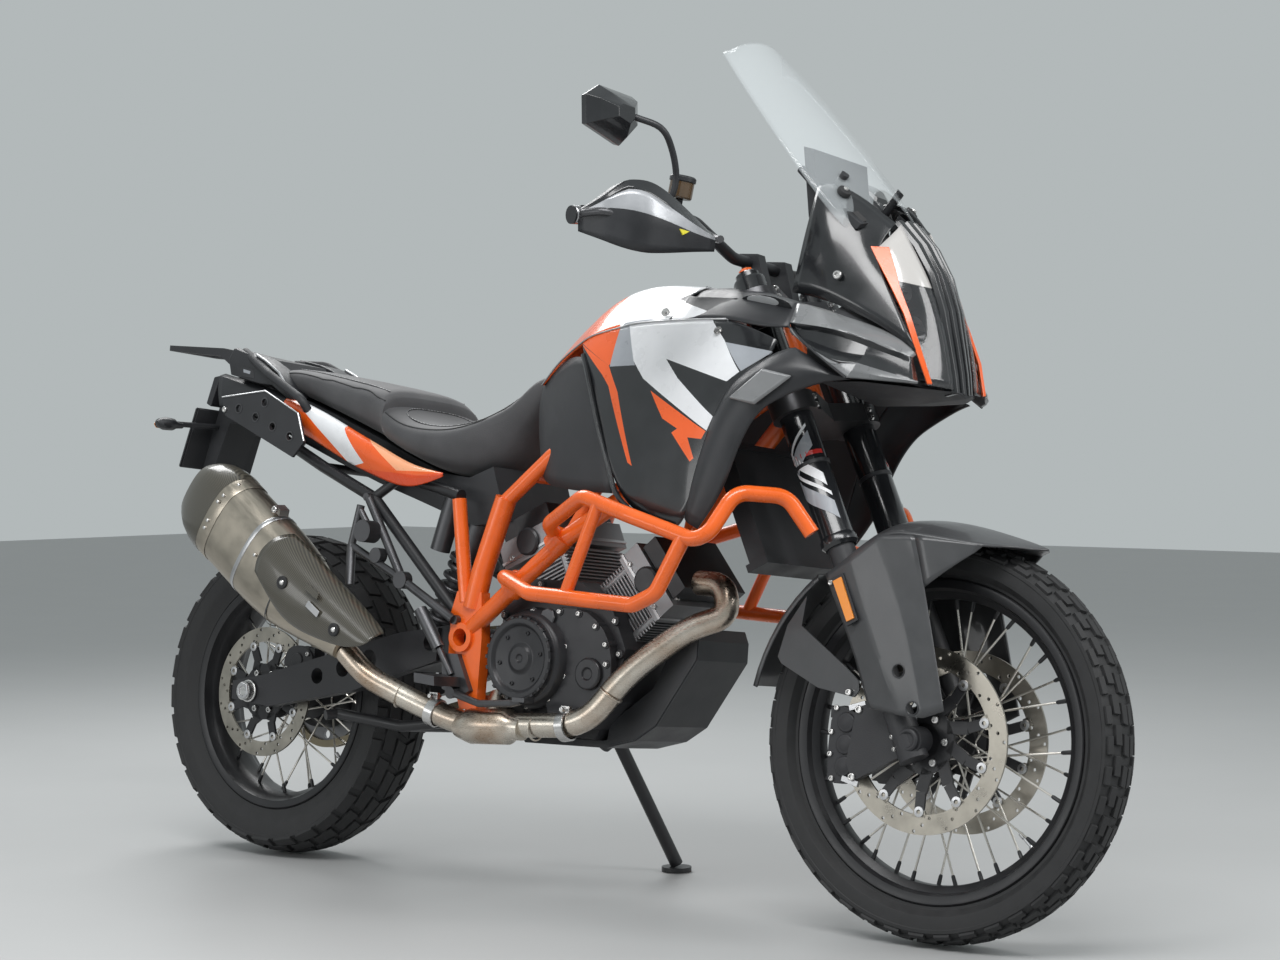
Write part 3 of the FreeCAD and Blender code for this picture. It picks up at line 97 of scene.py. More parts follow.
def noise(tree, vector, scale, detail=4.0, rough=0.55):
    """Noise over a position, about 0.3 to 0.7."""
    node = tree.nodes.new("ShaderNodeTexNoise")
    node.inputs["Scale"].default_value = scale
    node.inputs["Detail"].default_value = detail
    node.inputs["Roughness"].default_value = rough
    tree.links.new(vector, node.inputs["Vector"])
    return node.outputs["Fac"]


def spread(tree, value, low, high, start=0.3, end=0.7):
    """Value stretched from start..end to low..high."""
    node = tree.nodes.new("ShaderNodeMapRange")
    node.inputs["From Min"].default_value = start
    node.inputs["From Max"].default_value = end
    node.inputs["To Min"].default_value = low
    node.inputs["To Max"].default_value = high
    tree.links.new(value, node.inputs["Value"])
    return node.outputs["Result"]


def blended(tree, factor, first, second):
    """Mix of two colours or colour sockets by a factor."""
    node = tree.nodes.new("ShaderNodeMix")
    node.data_type = "RGBA"
    tree.links.new(factor, node.inputs["Factor"])
    for socket, value in (("A", first), ("B", second)):
        target = [i for i in node.inputs if i.name == socket and i.type == "RGBA"][0]
        if isinstance(value, tuple):
            target.default_value = (*value, 1)
        else:
            tree.links.new(value, target)
    return [o for o in node.outputs if o.type == "RGBA"][0]


def bumped(tree, height, strength, distance):
    """Normal disturbed by a height."""
    node = tree.nodes.new("ShaderNodeBump")
    node.inputs["Strength"].default_value = strength
    node.inputs["Distance"].default_value = distance
    tree.links.new(height, node.inputs["Height"])
    return node.outputs["Normal"]


def principled(name):
    """New material with its node tree and shader."""
    mat = bpy.data.materials.new(name)
    mat.use_nodes = True
    tree = mat.node_tree
    return mat, tree, tree.nodes["Principled BSDF"]


def surface(name, color, rough, metal=0.0, vary=0.12, patch=18.0, grain=900.0, bump=0.15,
            depth=0.0004, rough_vary=0.08, coat=0.0, specular=0.5, streak=None, second=None):
    """Base colour with soft patches, fine grain and a roughness that drifts with them."""
    mat, tree, shader = principled(name)
    vector = upright_coordinates(tree, streak or (1, 1, 1))
    patches = noise(tree, vector, patch)
    dark = tuple(c * (1 - vary) for c in color)
    light = second or tuple(min(1.0, c * (1 + vary)) for c in color)
    tree.links.new(blended(tree, spread(tree, patches, 0, 1), dark, light),
                   shader.inputs["Base Color"])
    tree.links.new(spread(tree, patches, rough - rough_vary, rough + rough_vary),
                   shader.inputs["Roughness"])
    tree.links.new(bumped(tree, noise(tree, vector, grain, 2.0), bump, depth),
                   shader.inputs["Normal"])
    shader.inputs["Metallic"].default_value = metal
    shader.inputs["Coat Weight"].default_value = coat
    shader.inputs["Coat Roughness"].default_value = 0.08
    shader.inputs["Specular IOR Level"].default_value = specular
    return mat


def glass(name, color, rough, alpha, coat=0.3):
    """Lens or screen, see-through by its alpha."""
    mat, tree, shader = principled(name)
    vector = upright_coordinates(tree)
    haze = noise(tree, vector, 30.0)
    tree.links.new(spread(tree, haze, rough, rough + 0.05), shader.inputs["Roughness"])
    shader.inputs["Base Color"].default_value = (*color, 1)
    shader.inputs["Alpha"].default_value = alpha
    shader.inputs["Coat Weight"].default_value = coat
    shader.inputs["IOR"].default_value = 1.5
    shader.inputs["Specular IOR Level"].default_value = 0.8
    return mat


def carbon(name):
    """Twill weave under a clear coat."""
    mat, tree, shader = principled(name)
    vector = upright_coordinates(tree, (1, 1, 1))
    waves = []
    for turn in (0.8, -0.8):
        mapping = tree.nodes.new("ShaderNodeMapping")
        mapping.inputs["Rotation"].default_value = (0, turn, 0)
        tree.links.new(vector, mapping.inputs["Vector"])
        wave = tree.nodes.new("ShaderNodeTexWave")
        wave.inputs["Scale"].default_value = 110.0
        tree.links.new(mapping.outputs["Vector"], wave.inputs["Vector"])
        waves.append(wave.outputs["Fac"])
    both = tree.nodes.new("ShaderNodeMath")
    both.operation = "MULTIPLY"
    for index, wave in enumerate(waves):
        tree.links.new(wave, both.inputs[index])
    tree.links.new(blended(tree, both.outputs[0], (0.035, 0.032, 0.025), (0.16, 0.145, 0.11)),
                   shader.inputs["Base Color"])
    tree.links.new(spread(tree, both.outputs[0], 0.3, 0.45, 0, 1), shader.inputs["Roughness"])
    tree.links.new(bumped(tree, both.outputs[0], 0.1, 0.0003), shader.inputs["Normal"])
    shader.inputs["Coat Weight"].default_value = 0.6
    shader.inputs["Coat Roughness"].default_value = 0.12
    return mat


def heated_steel(name):
    """Stainless header with straw and bronze tints in bands along it."""
    mat, tree, shader = principled(name)
    vector = upright_coordinates(tree)
    bands = noise(tree, vector, 9.0, 5.0)
    fine = noise(tree, upright_coordinates(tree, (1, 1, 6)), 160.0)
    tint = blended(tree, spread(tree, bands, 0, 1, 0.38, 0.62), (0.62, 0.57, 0.50),
                   (0.36, 0.25, 0.17))
    tree.links.new(blended(tree, spread(tree, fine, 0, 0.35), tint, (0.75, 0.70, 0.62)),
                   shader.inputs["Base Color"])
    tree.links.new(spread(tree, fine, 0.22, 0.42), shader.inputs["Roughness"])
    tree.links.new(bumped(tree, fine, 0.08, 0.0003), shader.inputs["Normal"])
    shader.inputs["Metallic"].default_value = 1.0
    return mat


def seat_cover(name):
    """Dark grippy vinyl with a fine pebble and a slightly woven look."""
    mat, tree, shader = principled(name)
    vector = upright_coordinates(tree)
    pebble = tree.nodes.new("ShaderNodeTexVoronoi")
    pebble.inputs["Scale"].default_value = 420.0
    tree.links.new(vector, pebble.inputs["Vector"])
    patches = noise(tree, vector, 14.0)
    tree.links.new(blended(tree, spread(tree, patches, 0, 1), (0.040, 0.040, 0.043),
                           (0.066, 0.066, 0.070)), shader.inputs["Base Color"])
    tree.links.new(bumped(tree, pebble.outputs["Distance"], 0.35, 0.0006),
                   shader.inputs["Normal"])
    tree.links.new(spread(tree, patches, 0.62, 0.74), shader.inputs["Roughness"])
    shader.inputs["Sheen Weight"].default_value = 0.25
    shader.inputs["Sheen Roughness"].default_value = 0.5
    return mat


MAT = {
    "frame_orange": surface("orange_powder", (0.86, 0.135, 0.012), 0.30, vary=0.08, coat=0.35,
                            grain=500, bump=0.12),
    "orange_panel": surface("orange_panel", (0.86, 0.115, 0.010), 0.28, vary=0.05, coat=0.6),
    "white_panel": surface("white_panel", (0.80, 0.81, 0.83), 0.30, vary=0.05, coat=0.5),
    "orange_deep": surface("orange_deep", (0.78, 0.070, 0.006), 0.28, vary=0.05, coat=0.6),
    "peach": surface("peach_panel", (0.93, 0.42, 0.22), 0.28, vary=0.05, coat=0.6),
    "grey_panel": surface("grey_panel", (0.34, 0.36, 0.39), 0.32, vary=0.1, coat=0.4),
    "gloss_black": surface("gloss_black", (0.013, 0.014, 0.016), 0.22, vary=0.2, coat=0.5,
                           rough_vary=0.05),
    "satin_black": surface("satin_black", (0.022, 0.023, 0.026), 0.42, vary=0.2, grain=1200,
                           bump=0.3),
    "matte_black": surface("matte_black", (0.026, 0.027, 0.030), 0.58, vary=0.2, grain=1500,
                           bump=0.45),
    "fender": surface("fender_plastic", (0.052, 0.053, 0.056), 0.36, vary=0.12, grain=1400,
                      bump=0.3, coat=0.3),
    "frame_black": surface("black_powder", (0.018, 0.018, 0.020), 0.38, grain=700, bump=0.3),
    "cast_black": surface("black_casting", (0.024, 0.024, 0.027), 0.5, grain=450, bump=0.5,
                          depth=0.0006),
    "engine_black": surface("engine_black", (0.028, 0.028, 0.031), 0.45, grain=380, bump=0.5,
                            depth=0.0006),
    "engine_grey": surface("engine_grey", (0.33, 0.33, 0.34), 0.42, metal=0.75, grain=380,
                           bump=0.5, depth=0.0006),
    "cover_black": surface("cover_black", (0.030, 0.030, 0.033), 0.36, metal=0.2, grain=500,
                           bump=0.35),
    "steel": surface("bright_steel", (0.62, 0.61, 0.60), 0.28, metal=1.0, grain=700, bump=0.1,
                     streak=(1, 1, 8)),
    "disc": surface("ground_disc", (0.37, 0.345, 0.30), 0.34, metal=1.0, grain=600, bump=0.2,
                    vary=0.2),
    "spoke": surface("spoke_steel", (0.66, 0.63, 0.58), 0.3, metal=1.0, grain=600, bump=0.1),
    "alu": surface("bare_aluminium", (0.55, 0.55, 0.56), 0.35, metal=1.0, grain=600, bump=0.2),
    "dark_alu": surface("dark_aluminium", (0.10, 0.10, 0.105), 0.38, metal=0.8, grain=600,
                        bump=0.2),
    "rim": surface("black_rim", (0.018, 0.018, 0.020), 0.36, metal=0.1, grain=900, bump=0.15),
    "titanium": surface("brushed_titanium", (0.44, 0.395, 0.33), 0.36, metal=1.0, vary=0.12,
                        grain=90, bump=0.22, streak=(1, 8, 1)),
    "chain": surface("chain_steel", (0.36, 0.31, 0.22), 0.4, metal=0.9, grain=600, bump=0.3),
    "sprocket": surface("sprocket_steel", (0.28, 0.28, 0.29), 0.4, metal=0.9),
    "rubber": surface("rubber", (0.020, 0.020, 0.021), 0.7, vary=0.25, grain=1300, bump=0.5),
    "tyre": surface("tyre_rubber", (0.021, 0.021, 0.022), 0.66, vary=0.3, patch=40, grain=900,
                    bump=0.5, depth=0.0006),
    "radiator": surface("radiator_fins", (0.03, 0.03, 0.033), 0.5, metal=0.4),
    "amber": glass("amber_lens", (0.95, 0.30, 0.02), 0.15, 0.95),
    "red_lens": glass("red_lens", (0.45, 0.01, 0.01), 0.15, 0.95),
    "smoke": glass("smoked_lens", (0.02, 0.02, 0.022), 0.1, 0.82),
    "screen": glass("clear_screen", (0.86, 0.92, 0.95), 0.04, 0.16, coat=1.0),
    "lamp_lens": glass("lamp_lens", (0.04, 0.042, 0.046), 0.08, 0.5, coat=0.8),
    # Pale glass for the upper part of the lamp lens: a painted reflection of the overhead light.
    "lamp_pale": glass("lamp_pale", (0.62, 0.60, 0.58), 0.12, 0.86, coat=0.9),
    # Light grey on black plastic: a painted highlight on the wing ridges, the lips and the vent
    # plates.
    "sheen_black": surface("sheen_black", (0.19, 0.195, 0.20), 0.32, vary=0.1, coat=0.4,
                           grain=1200, bump=0.2),
    "clear_lens": glass("clear_lens", (0.55, 0.56, 0.57), 0.1, 0.8, coat=0.8),
    "mirror": surface("mirror_glass", (0.75, 0.77, 0.8), 0.04, metal=1.0, vary=0.02, bump=0.0,
                      rough_vary=0.02),
    "carbon": carbon("carbon_weave"),
    "exhaust": heated_steel("heated_steel"),
    "seat": seat_cover("seat_vinyl"),
    "red_band": surface("red_band", (0.55, 0.02, 0.015), 0.3, coat=0.4),
    # Silver-grey for the hand guards' middle facet: a painted reflection on black plastic.
    "guard_silver": surface("guard_silver", (0.42, 0.43, 0.45), 0.32, metal=0.3, coat=0.3),
    "cup": glass("fluid_cup", (0.11, 0.065, 0.03), 0.12, 0.88),
    "seam": surface("seat_seam", (0.018, 0.018, 0.019), 0.7),
    "stitch": surface("stitch_thread", (0.42, 0.42, 0.43), 0.6),
    "yellow": surface("yellow_mark", (0.85, 0.75, 0.05), 0.4),
}

NODE_MATERIALS = {
    "frame_orange": ("frame_side_right", "frame_side_left", "frame_rails_right",
        "frame_rails_left", "steering_head", "crash_bars"),
    "frame_black": ("subframe", "side_stand", "centre_stand"),
    "cast_black": ("swingarm_cross", "swingarm_right", "swingarm_left", "rear_caliper",
        "fork_lowers", "front_calipers"),
    "steel": ("rear_axle",),
    "dark_alu": ("rear_shock", "foot_controls", "passenger_pegs", "triple_clamps", "fuel_cap"),
    "engine_black": ("crankcase",),
    "engine_grey": ("cylinders",),
    "cover_black": ("engine_covers",),
    "radiator": ("radiator",),
    "satin_black": ("skid_plate", "shrouds", "side_spears", "dash", "handlebar", "hand_guards"),
    "exhaust": ("exhaust_pipes",),
    "titanium": ("muffler",),
    "carbon": ("muffler_trim",),
    "orange_panel": ("fuel_tank", "tail_panels"),
    "matte_black": ("knee_covers", "seat_tray", "rear_rack", "plate_hanger"),
    "white_panel": ("tank_panels",),
    "gloss_black": ("nose_mask", "fork_outer_tubes", "mirrors"),
    "lamp_lens": ("headlight",),
    "screen": ("windscreen",),
    "seat": ("rider_seat", "passenger_seat"),
    "red_lens": ("tail_light",),
    "smoke": ("indicators",),
    "chain": ("chain",),
    "rim": ("rear_wheel", "front_wheel"),
    "tyre": ("rear_tyre", "front_tyre"),
    "disc": ("rear_disc", "front_discs"),
    "sprocket": ("rear_sprocket",),
    "fender": ("front_fender",),
    "rubber": ("bar_controls",),
}


def dress_nodes():
    """Gives each CAD node its surface."""
    for key, names in NODE_MATERIALS.items():
        for node in (frame["nodes"][name] for name in names):
            for slot in node.material_slots:
                slot.material = MAT[key]
            if not node.material_slots:
                node.data.materials.append(MAT[key])


# Mesh building

def turns(count, first=0.0):
    """Even angles round a full circle; first is in shares of a step."""
    return [2 * math.pi * (i + first) / count for i in range(count)]


def outward(angle):
    """Direction away from an axle, at an angle from straight ahead."""
    return V((math.cos(angle), 0, math.sin(angle)))


class Shape:
    """Vertices in upright millimetres, faces, and a material key for each face."""

    def __init__(self):
        self.verts = []
        self.faces = []
        self.keys = []

    def add(self, verts, faces, key):
        base = len(self.verts)
        self.verts += [V(v) for v in verts]
        self.faces += [tuple(base + i for i in face) for face in faces]
        self.keys += [key] * len(faces)

    def loft(self, rings, key, caps=True, around=True):
        """Skin through rings of equally many points; caps close the two ends."""
        count = len(rings[0])
        verts = [p for ring in rings for p in ring]
        faces = []
        steps = count if around else count - 1
        for row in range(len(rings) - 1):
            for i in range(steps):
                j = (i + 1) % count
                faces.append((row * count + i, row * count + j, (row + 1) * count + j,
                              (row + 1) * count + i))
        if caps and around:
            faces.append(tuple(range(count))[::-1])
            faces.append(tuple((len(rings) - 1) * count + i for i in range(count)))
        self.add(verts, faces, key)

    def lathe(self, profile, base, axis, key, segments=48, closed=False):
        """Turned form from (radius, height) points about an axis through base."""
        axis = V(axis).normalized()
        side = axis.orthogonal().normalized()
        other = axis.cross(side)
        verts = []
        for angle in turns(segments):
            out = side * math.cos(angle) + other * math.sin(angle)
            verts += [V(base) + out * r + axis * h for r, h in profile]
        count = len(profile)
        faces = []
        rows = count if closed else count - 1
        for index in range(segments):
            a, b = index * count, (index + 1) % segments * count
            for i in range(rows):
                j = (i + 1) % count
                faces.append((a + i, a + j, b + j, b + i))
        self.add(verts, faces, key)

    def tube(self, points, radius, key, sides=12):
        """Round bar along points; radius may be a list, one for each point."""
        points = [V(p) for p in points]
        radii = radius if isinstance(radius, (list, tuple)) else [radius] * len(points)
        rings = []
        side = None
        for index, point in enumerate(points):
            after = points[min(index + 1, len(points) - 1)]
            before = points[max(index - 1, 0)]
            along = (after - before).normalized()
            side = along.orthogonal() if side is None else side - along * side.dot(along)
            side.normalize()
            other = along.cross(side)
            rings.append([point + (side * math.cos(t) + other * math.sin(t)) * radii[index]
                          for t in turns(sides)])
        self.loft(rings, key)

    def prism(self, outline, y_from, y_to, key):
        """Flat piece whose outline is seen from the side."""
        self.loft([[V((x, y, z)) for x, z in outline] for y in (y_from, y_to)], key)

    def block(self, centre, size, key, turn=None):
        centre = V(centre)
        half = V(size) / 2
        turn = turn or Matrix.Identity(3)
        rings = []
        for z in (-half.z, half.z):
            rings.append([centre + turn @ V((x, y, z)) for x, y in (
                (-half.x, -half.y), (half.x, -half.y), (half.x, half.y), (-half.x, half.y))])
        self.loft(rings, key)

    def bolt(self, point, axis, radius, key="steel"):
        """Cap screw with a socket, its head standing on point."""
        high = radius * 0.9
        rim = radius * 0.55
        self.lathe([(0, 0), (radius, 0), (radius, high * 0.8), (radius * 0.85, high), (rim, high),
                    (rim, high * 0.45), (0, high * 0.45)], point, axis, key, segments=14)

    def mirrored(self):
        """The same shape on the other side of the bike."""
        twin = Shape()
        twin.verts = [V((v.x, -v.y, v.z)) for v in self.verts]
        twin.faces = [face[::-1] for face in self.faces]
        twin.keys = list(self.keys)
        return twin

    def join(self, other):
        """Takes over another shape's faces."""
        base = len(self.verts)
        self.verts += other.verts
        self.faces += [tuple(base + i for i in face) for face in other.faces]
        self.keys += other.keys
        return self

    def both_sides(self):
        """Adds the shape's own mirror image."""
        return self.join(self.mirrored())

    def painted(self, regions):
        """Cuts the faces along each region's (x, z) outline and gives those inside its key."""
        mesh = bmesh.new()
        keys = sorted(set(self.keys) | {key for _, key in regions})
        made = [mesh.verts.new(v) for v in self.verts]
        for face, key in zip(self.faces, self.keys):
            if len(set(face)) > 2:
                made_face = mesh.faces.new([made[i] for i in face])
                made_face.material_index = keys.index(key)
        for outline, key in regions:
            for (x0, z0), (x1, z1) in zip(outline, outline[1:] + outline[:1]):
                near = [face for face in mesh.faces if touches(face, x0, z0, x1, z1)]
                edges = {edge for face in near for edge in face.edges}
                verts = {vert for face in near for vert in face.verts}
                bmesh.ops.bisect_plane(mesh, geom=near + list(edges) + list(verts),
                                       dist=0.05, plane_co=(x0, 0, z0),
                                       plane_no=(z1 - z0, 0, x0 - x1))
            for face in mesh.faces:
                centre = face.calc_center_median()
                if inside(outline, centre.x, centre.z):
                    face.material_index = keys.index(key)
        mesh.verts.index_update()
        self.verts = [v.co.copy() for v in mesh.verts]
        self.faces = [tuple(v.index for v in face.verts) for face in mesh.faces]
        self.keys = [keys[face.material_index] for face in mesh.faces]
        mesh.free()
        return self


def touches(face, x0, z0, x1, z1):
    """Whether a face's box meets a segment's box, seen from the side."""
    xs = [v.co.x for v in face.verts]
    zs = [v.co.z for v in face.verts]
    return (max(xs) >= min(x0, x1) and min(xs) <= max(x0, x1)
            and max(zs) >= min(z0, z1) and min(zs) <= max(z0, z1))


def inside(outline, x, z):
    """Whether a point lies in an outline, seen from the side."""
    result = False
    for (x0, z0), (x1, z1) in zip(outline, outline[1:] + outline[:1]):
        if (z0 > z) != (z1 > z) and x < x0 + (z - z0) * (x1 - x0) / (z1 - z0):
            result = not result
    return result


def place(name, shape, body="root", replaces=(), bevel=0.0, sharp=32, thick=0.0,
          segments=2, lined=False):
    """Puts a shape into the scene on its body; bevel and thick are in millimetres, and a lined
    shell is black inside."""
    matrix = STEERED if body in STEERED_BODIES else UPRIGHT
    mesh = bpy.data.meshes.new(name)
    mesh.from_pydata([matrix @ v for v in shape.verts], [], shape.faces)
    keys = list(dict.fromkeys(shape.keys))
    for key in keys + ["matte_black"] * lined:
        mesh.materials.append(MAT[key])
    mesh.polygons.foreach_set("material_index", [keys.index(key) for key in shape.keys])
    work = bmesh.new()
    work.from_mesh(mesh)
    bmesh.ops.remove_doubles(work, verts=work.verts[:], dist=0.00002)
    if not thick:
        bmesh.ops.recalc_face_normals(work, faces=work.faces[:])
    work.to_mesh(mesh)
    work.free()
    mesh.polygons.foreach_set("use_smooth", [True] * len(mesh.polygons))
    mesh.set_sharp_from_angle(angle=math.radians(sharp))
    obj = bpy.data.objects.new(name, mesh)
    bpy.context.scene.collection.objects.link(obj)
    if thick:
        shell = obj.modifiers.new("thickness", "SOLIDIFY")
        shell.thickness = thick / 1000
        shell.offset = -1
        shell.material_offset = len(keys) * lined
    if bevel:
        edge = obj.modifiers.new("edges", "BEVEL")
        edge.width = bevel / 1000
        edge.segments = segments
        edge.limit_method = "ANGLE"
        edge.angle_limit = math.radians(sharp)
        edge.harden_normals = True
    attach(obj, body)
    if replaces:
        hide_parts(*((replaces,) if isinstance(replaces, str) else replaces))
    return obj


def fork_point(along, ahead=0.0, y=0.0):
    """Point along the steering axis, ahead of it and to the side."""
    return STEER_FOOT + STEER_AXIS * along + FORK_AHEAD * ahead + V((0, y, 0))


# Wheels

def crown_point(centre, angle, across, radius, crown, lift=0.0):
    """Point on a tyre's crown: angle round the wheel, arc length across it."""
    turn = across / crown
    r = radius - crown * (1 - math.cos(turn)) + lift * math.cos(turn)
    y = crown * math.sin(turn) + lift * math.sin(turn)
    return centre + V((r * math.cos(angle), y, r * math.sin(angle)))


def tread_block(shape, centre, radius, crown, start, end, low, high, depth, skew=0.0, draft=1.2):
    """One rubber block between two angles and two distances across the crown."""
    bottom, top = [], []
    for angle, across in ((start, low), (end, low), (end, high), (start, high)):
        middle_angle, middle = (start + end) / 2, (low + high) / 2
        lean = skew * (across - middle) / radius
        bottom.append(crown_point(centre, angle + lean, across, radius, crown, -depth - 1))
        pull_angle = angle + lean + math.copysign(draft / radius, middle_angle - angle)
        pull = across + math.copysign(draft, middle - across)
        top.append(crown_point(centre, pull_angle, pull, radius, crown, 0.0))
    shape.loft([bottom, top], "tyre")


def tyre(name, centre, radius, width, seat, half, crown, depth, pitches, rows, body, node):
    """Carcass with tread blocks; a row is (low, high, offset, length, skew) across the crown."""
    shape = Shape()
    shoulder = radius - 0.16 * width
    base = []
    steps = 12
    reach = math.asin((width / 2 - 1.5) / crown)
    for index in range(steps + 1):
        turn = -reach + 2 * reach * index / steps
        base.append((radius - depth - crown * (1 - math.cos(turn)),
                     (crown - depth * 0.4) * math.sin(turn)))
    y = width / 2
    side = [(shoulder - 6, y - 0.5), (shoulder - 12, y * 0.995), (shoulder - 13, y * 0.975),
            ((shoulder + seat) / 2 + 5, y * 0.97), ((shoulder + seat) / 2 - 2, y * 0.94),
            (seat + 20, half + 4), (seat + 15, half + 3.5), (seat + 14, half + 1),
            (seat + 1, half - 1)]
    profile = [(r, -h) for r, h in reversed(side)] + base + side
    shape.lathe(profile, centre, LEFT, "tyre", segments=120)
    pitch = 2 * math.pi / pitches
    for index in range(pitches):
        for low, high, offset, length, skew in rows:
            for sign in (-1, 1):
                start = (index + offset) * pitch
                tread_block(shape, centre, radius, crown, start, start + length * pitch,
                            sign * low, sign * high, depth, skew * sign)
    place(name, shape, body, node, bevel=0.8, sharp=35, segments=1)


FRONT_ROWS = [(0.8, 17, 0.0, 0.70, 0.25), (20, 36, 0.34, 0.68, 0.1), (39, 52, 0.02, 0.64, 0.0)]
REAR_ROWS = [(0.8, 26, 0.0, 0.84, 0.45), (30, 56, 0.42, 0.82, 0.3), (60, 84, 0.04, 0.78, 0.0)]


def rim(name, centre, seat, half, body):
    """Dropped-centre rim with a valve stem; its CAD node has its body's name."""
    shape = Shape()
    lip = seat + 13
    well = seat - 14
    outer = [(lip - 2, -half - 6), (lip, -half - 4), (lip, -half), (seat, -half),
             (seat - 2, -half * 0.62), (well, -half * 0.42), (well, half * 0.42),
             (seat - 2, half * 0.62), (seat, half), (lip, half), (lip, half + 4),
             (lip - 2, half + 6)]
    inner = [(lip - 6, half + 6), (seat - 3, half + 3), (seat - 8, half * 0.78),
             (seat - 11, half * 0.72), (well - 6, half * 0.46), (well - 7, half * 0.2),
             (well - 7, -half * 0.2), (well - 6, -half * 0.46), (seat - 11, -half * 0.72),
             (seat - 8, -half * 0.78), (seat - 3, -half - 3), (lip - 6, -half - 6)]
    shape.lathe(outer + inner, centre, LEFT, "rim", segments=144, closed=True)
    angle = math.radians(-42)
    out = outward(angle)
    foot = centre + out * (well - 6) + V((0, -6, 0))
    shape.lathe([(5, 0), (5, 4), (3.2, 5), (3.2, 22), (4.2, 23), (4.2, 33), (0, 33)], foot,
                -out, "alu", segments=12)
    place(name, shape, body, body, sharp=30)


def spokes(name, centre, count, hub_radius, hub_y, rim_radius, rim_y, cross, body):
    """Crossed spokes with black nipples at the rim."""
    shape = Shape()
    for index in range(count):
        side = 1 if index % 2 else -1
        lean = cross if (index // 2) % 2 else -cross
        outer = math.radians(360.0 * index / count)
        inner = outer + math.radians(lean)
        start = centre + V((hub_radius * math.cos(inner), side * hub_y,
                            hub_radius * math.sin(inner)))
        end = centre + V((rim_radius * math.cos(outer), side * rim_y,
                          rim_radius * math.sin(outer)))
        along = (end - start).normalized()
        shape.tube([start, end], 2.0, "spoke", sides=8)
        shape.tube([end - along * 20, end - along * 17, end + along * 2], [2.6, 3.6, 4.0],
                   "rim", sides=8)
        shape.lathe([(4.2, -3), (4.2, 0), (2.2, 2)], start, V((0, side, 0)), "spoke",
                    segments=8)
    place(name, shape, body, sharp=40)


def hub(name, profile, centre, body):
    """Turned hub from its half section."""
    shape = Shape()
    shape.lathe(profile, centre, LEFT, "rim", segments=64, closed=True)
    place(name, shape, body, sharp=30, bevel=0.8, segments=1)


def drilled_ring(shape, centre, y, thick, inner, outer, sectors, pattern, hole, key):
    """Flat band whose cells are plain (0 in the pattern) or pierced by a round hole (1)."""
    rows = len(pattern)
    half = thick / 2

    def at(radius, angle, side):
        return centre + V((radius * math.cos(angle), y + side * half, radius * math.sin(angle)))
    for index in range(sectors):
        a0 = 2 * math.pi * index / sectors
        a1 = 2 * math.pi * (index + 1) / sectors
        am = (a0 + a1) / 2
        for row in range(rows):
            r0 = inner + (outer - inner) * row / rows
            r1 = inner + (outer - inner) * (row + 1) / rows
            rm = (r0 + r1) / 2
            edge = [(r0, a0), (r0, am), (r0, a1), (rm, a1), (r1, a1), (r1, am), (r1, a0),
                    (rm, a0)]
            if pattern[row][index % len(pattern[row])]:
                verts = []
                for side in (1, -1):
                    verts += [at(r, a, side) for r, a in edge]
                    for r, a in edge:
                        dr, da = r - rm, (a - am) * rm
                        length = math.hypot(dr, da)
                        verts.append(at(rm + dr / length * hole, am + da / length * hole / rm,
                                        side))
                faces = []
                for i in range(8):
                    j = (i + 1) % 8
                    faces.append((i, j, 8 + j, 8 + i))
                    faces.append((16 + j, 16 + i, 24 + i, 24 + j))
                    faces.append((8 + i, 8 + j, 24 + j, 24 + i))
                shape.add(verts, faces, key)
            else:
                verts = [at(r, a, side) for side in (1, -1) for r, a in edge]
                shape.add(verts, [tuple(range(8)), tuple(range(8, 16))[::-1]], key)
        for radius in (inner, outer):
            verts = [at(radius, a, side) for side in (1, -1) for a in (a0, am, a1)]
            shape.add(verts, [(0, 1, 4, 3), (1, 2, 5, 4)], key)


def brake_disc(shape, centre, y, side, radius, band, arms):
    """Drilled ring on round bobbins, carried by a hub's arms; side is 1 on the left, -1 right."""
    drilled_ring(shape, centre, y, 4.4, radius - band, radius, 60,
                 [(0, 0, 1, 0), (0, 1, 0, 0), (1, 0, 0, 0)], 3.3, "disc")
    bobbin = radius - band - 5
    for angle in turns(arms, 0.5):
        out = outward(angle)
        seat = centre + out * bobbin + V((0, y, 0))
        lug = centre + out * (bobbin + 9) + V((0, y, 0))
        across = V((-out.z, 0, out.x))
        ring = [[p + V((0, s * 2.2, 0)) for p in (seat - across * 11 - out * 2,
                                                    lug - across * 13, lug + across * 13,
                                                    seat + across * 11 - out * 2)] for s in (-1, 1)]
        shape.loft(ring, "disc")
        shape.lathe([(4, -4.6), (9, -4), (9.5, -3), (9.5, 3), (9, 4), (4, 4.6)], seat, LEFT, "alu",
                    segments=20, closed=True)
        # Black disc in each bobbin's centre: painted shade standing in for its hole.
        shape.lathe([(0, 1.5), (4, 1.5), (4, -1.5), (0, -1.5)], seat, LEFT, "matte_black", 16)
        inner = centre + out * (bobbin - 34) + V((0, y - side * 2, 0))
        lean = math.radians(12)
        root = centre + V((math.cos(angle + lean) * 50, y - side * 2,
                           math.sin(angle + lean) * 50))
        for start, end, wide in ((seat - out * 4, inner, 9), (inner, root, 11)):
            along = (end - start).normalized()
            cross = V((-along.z, 0, along.x))
            ends = []
            for point in (start, end):
                ends.append([point + cross * s * wide + V((0, h * 2.6, 0))
                             for s, h in ((-1, -1), (1, -1), (1, 1), (-1, 1))])
            shape.loft(ends, "rim")
    shape.lathe([(30, -2.6), (58, -2.6), (58, 2.6), (30, 2.6)],
                centre + V((0, y - side * 2, 0)), LEFT, "rim", closed=True)
    for angle in turns(6):
        shape.bolt(centre + outward(angle) * 42 + V((0, y + side * 0.6, 0)), (0, side, 0), 6.5)


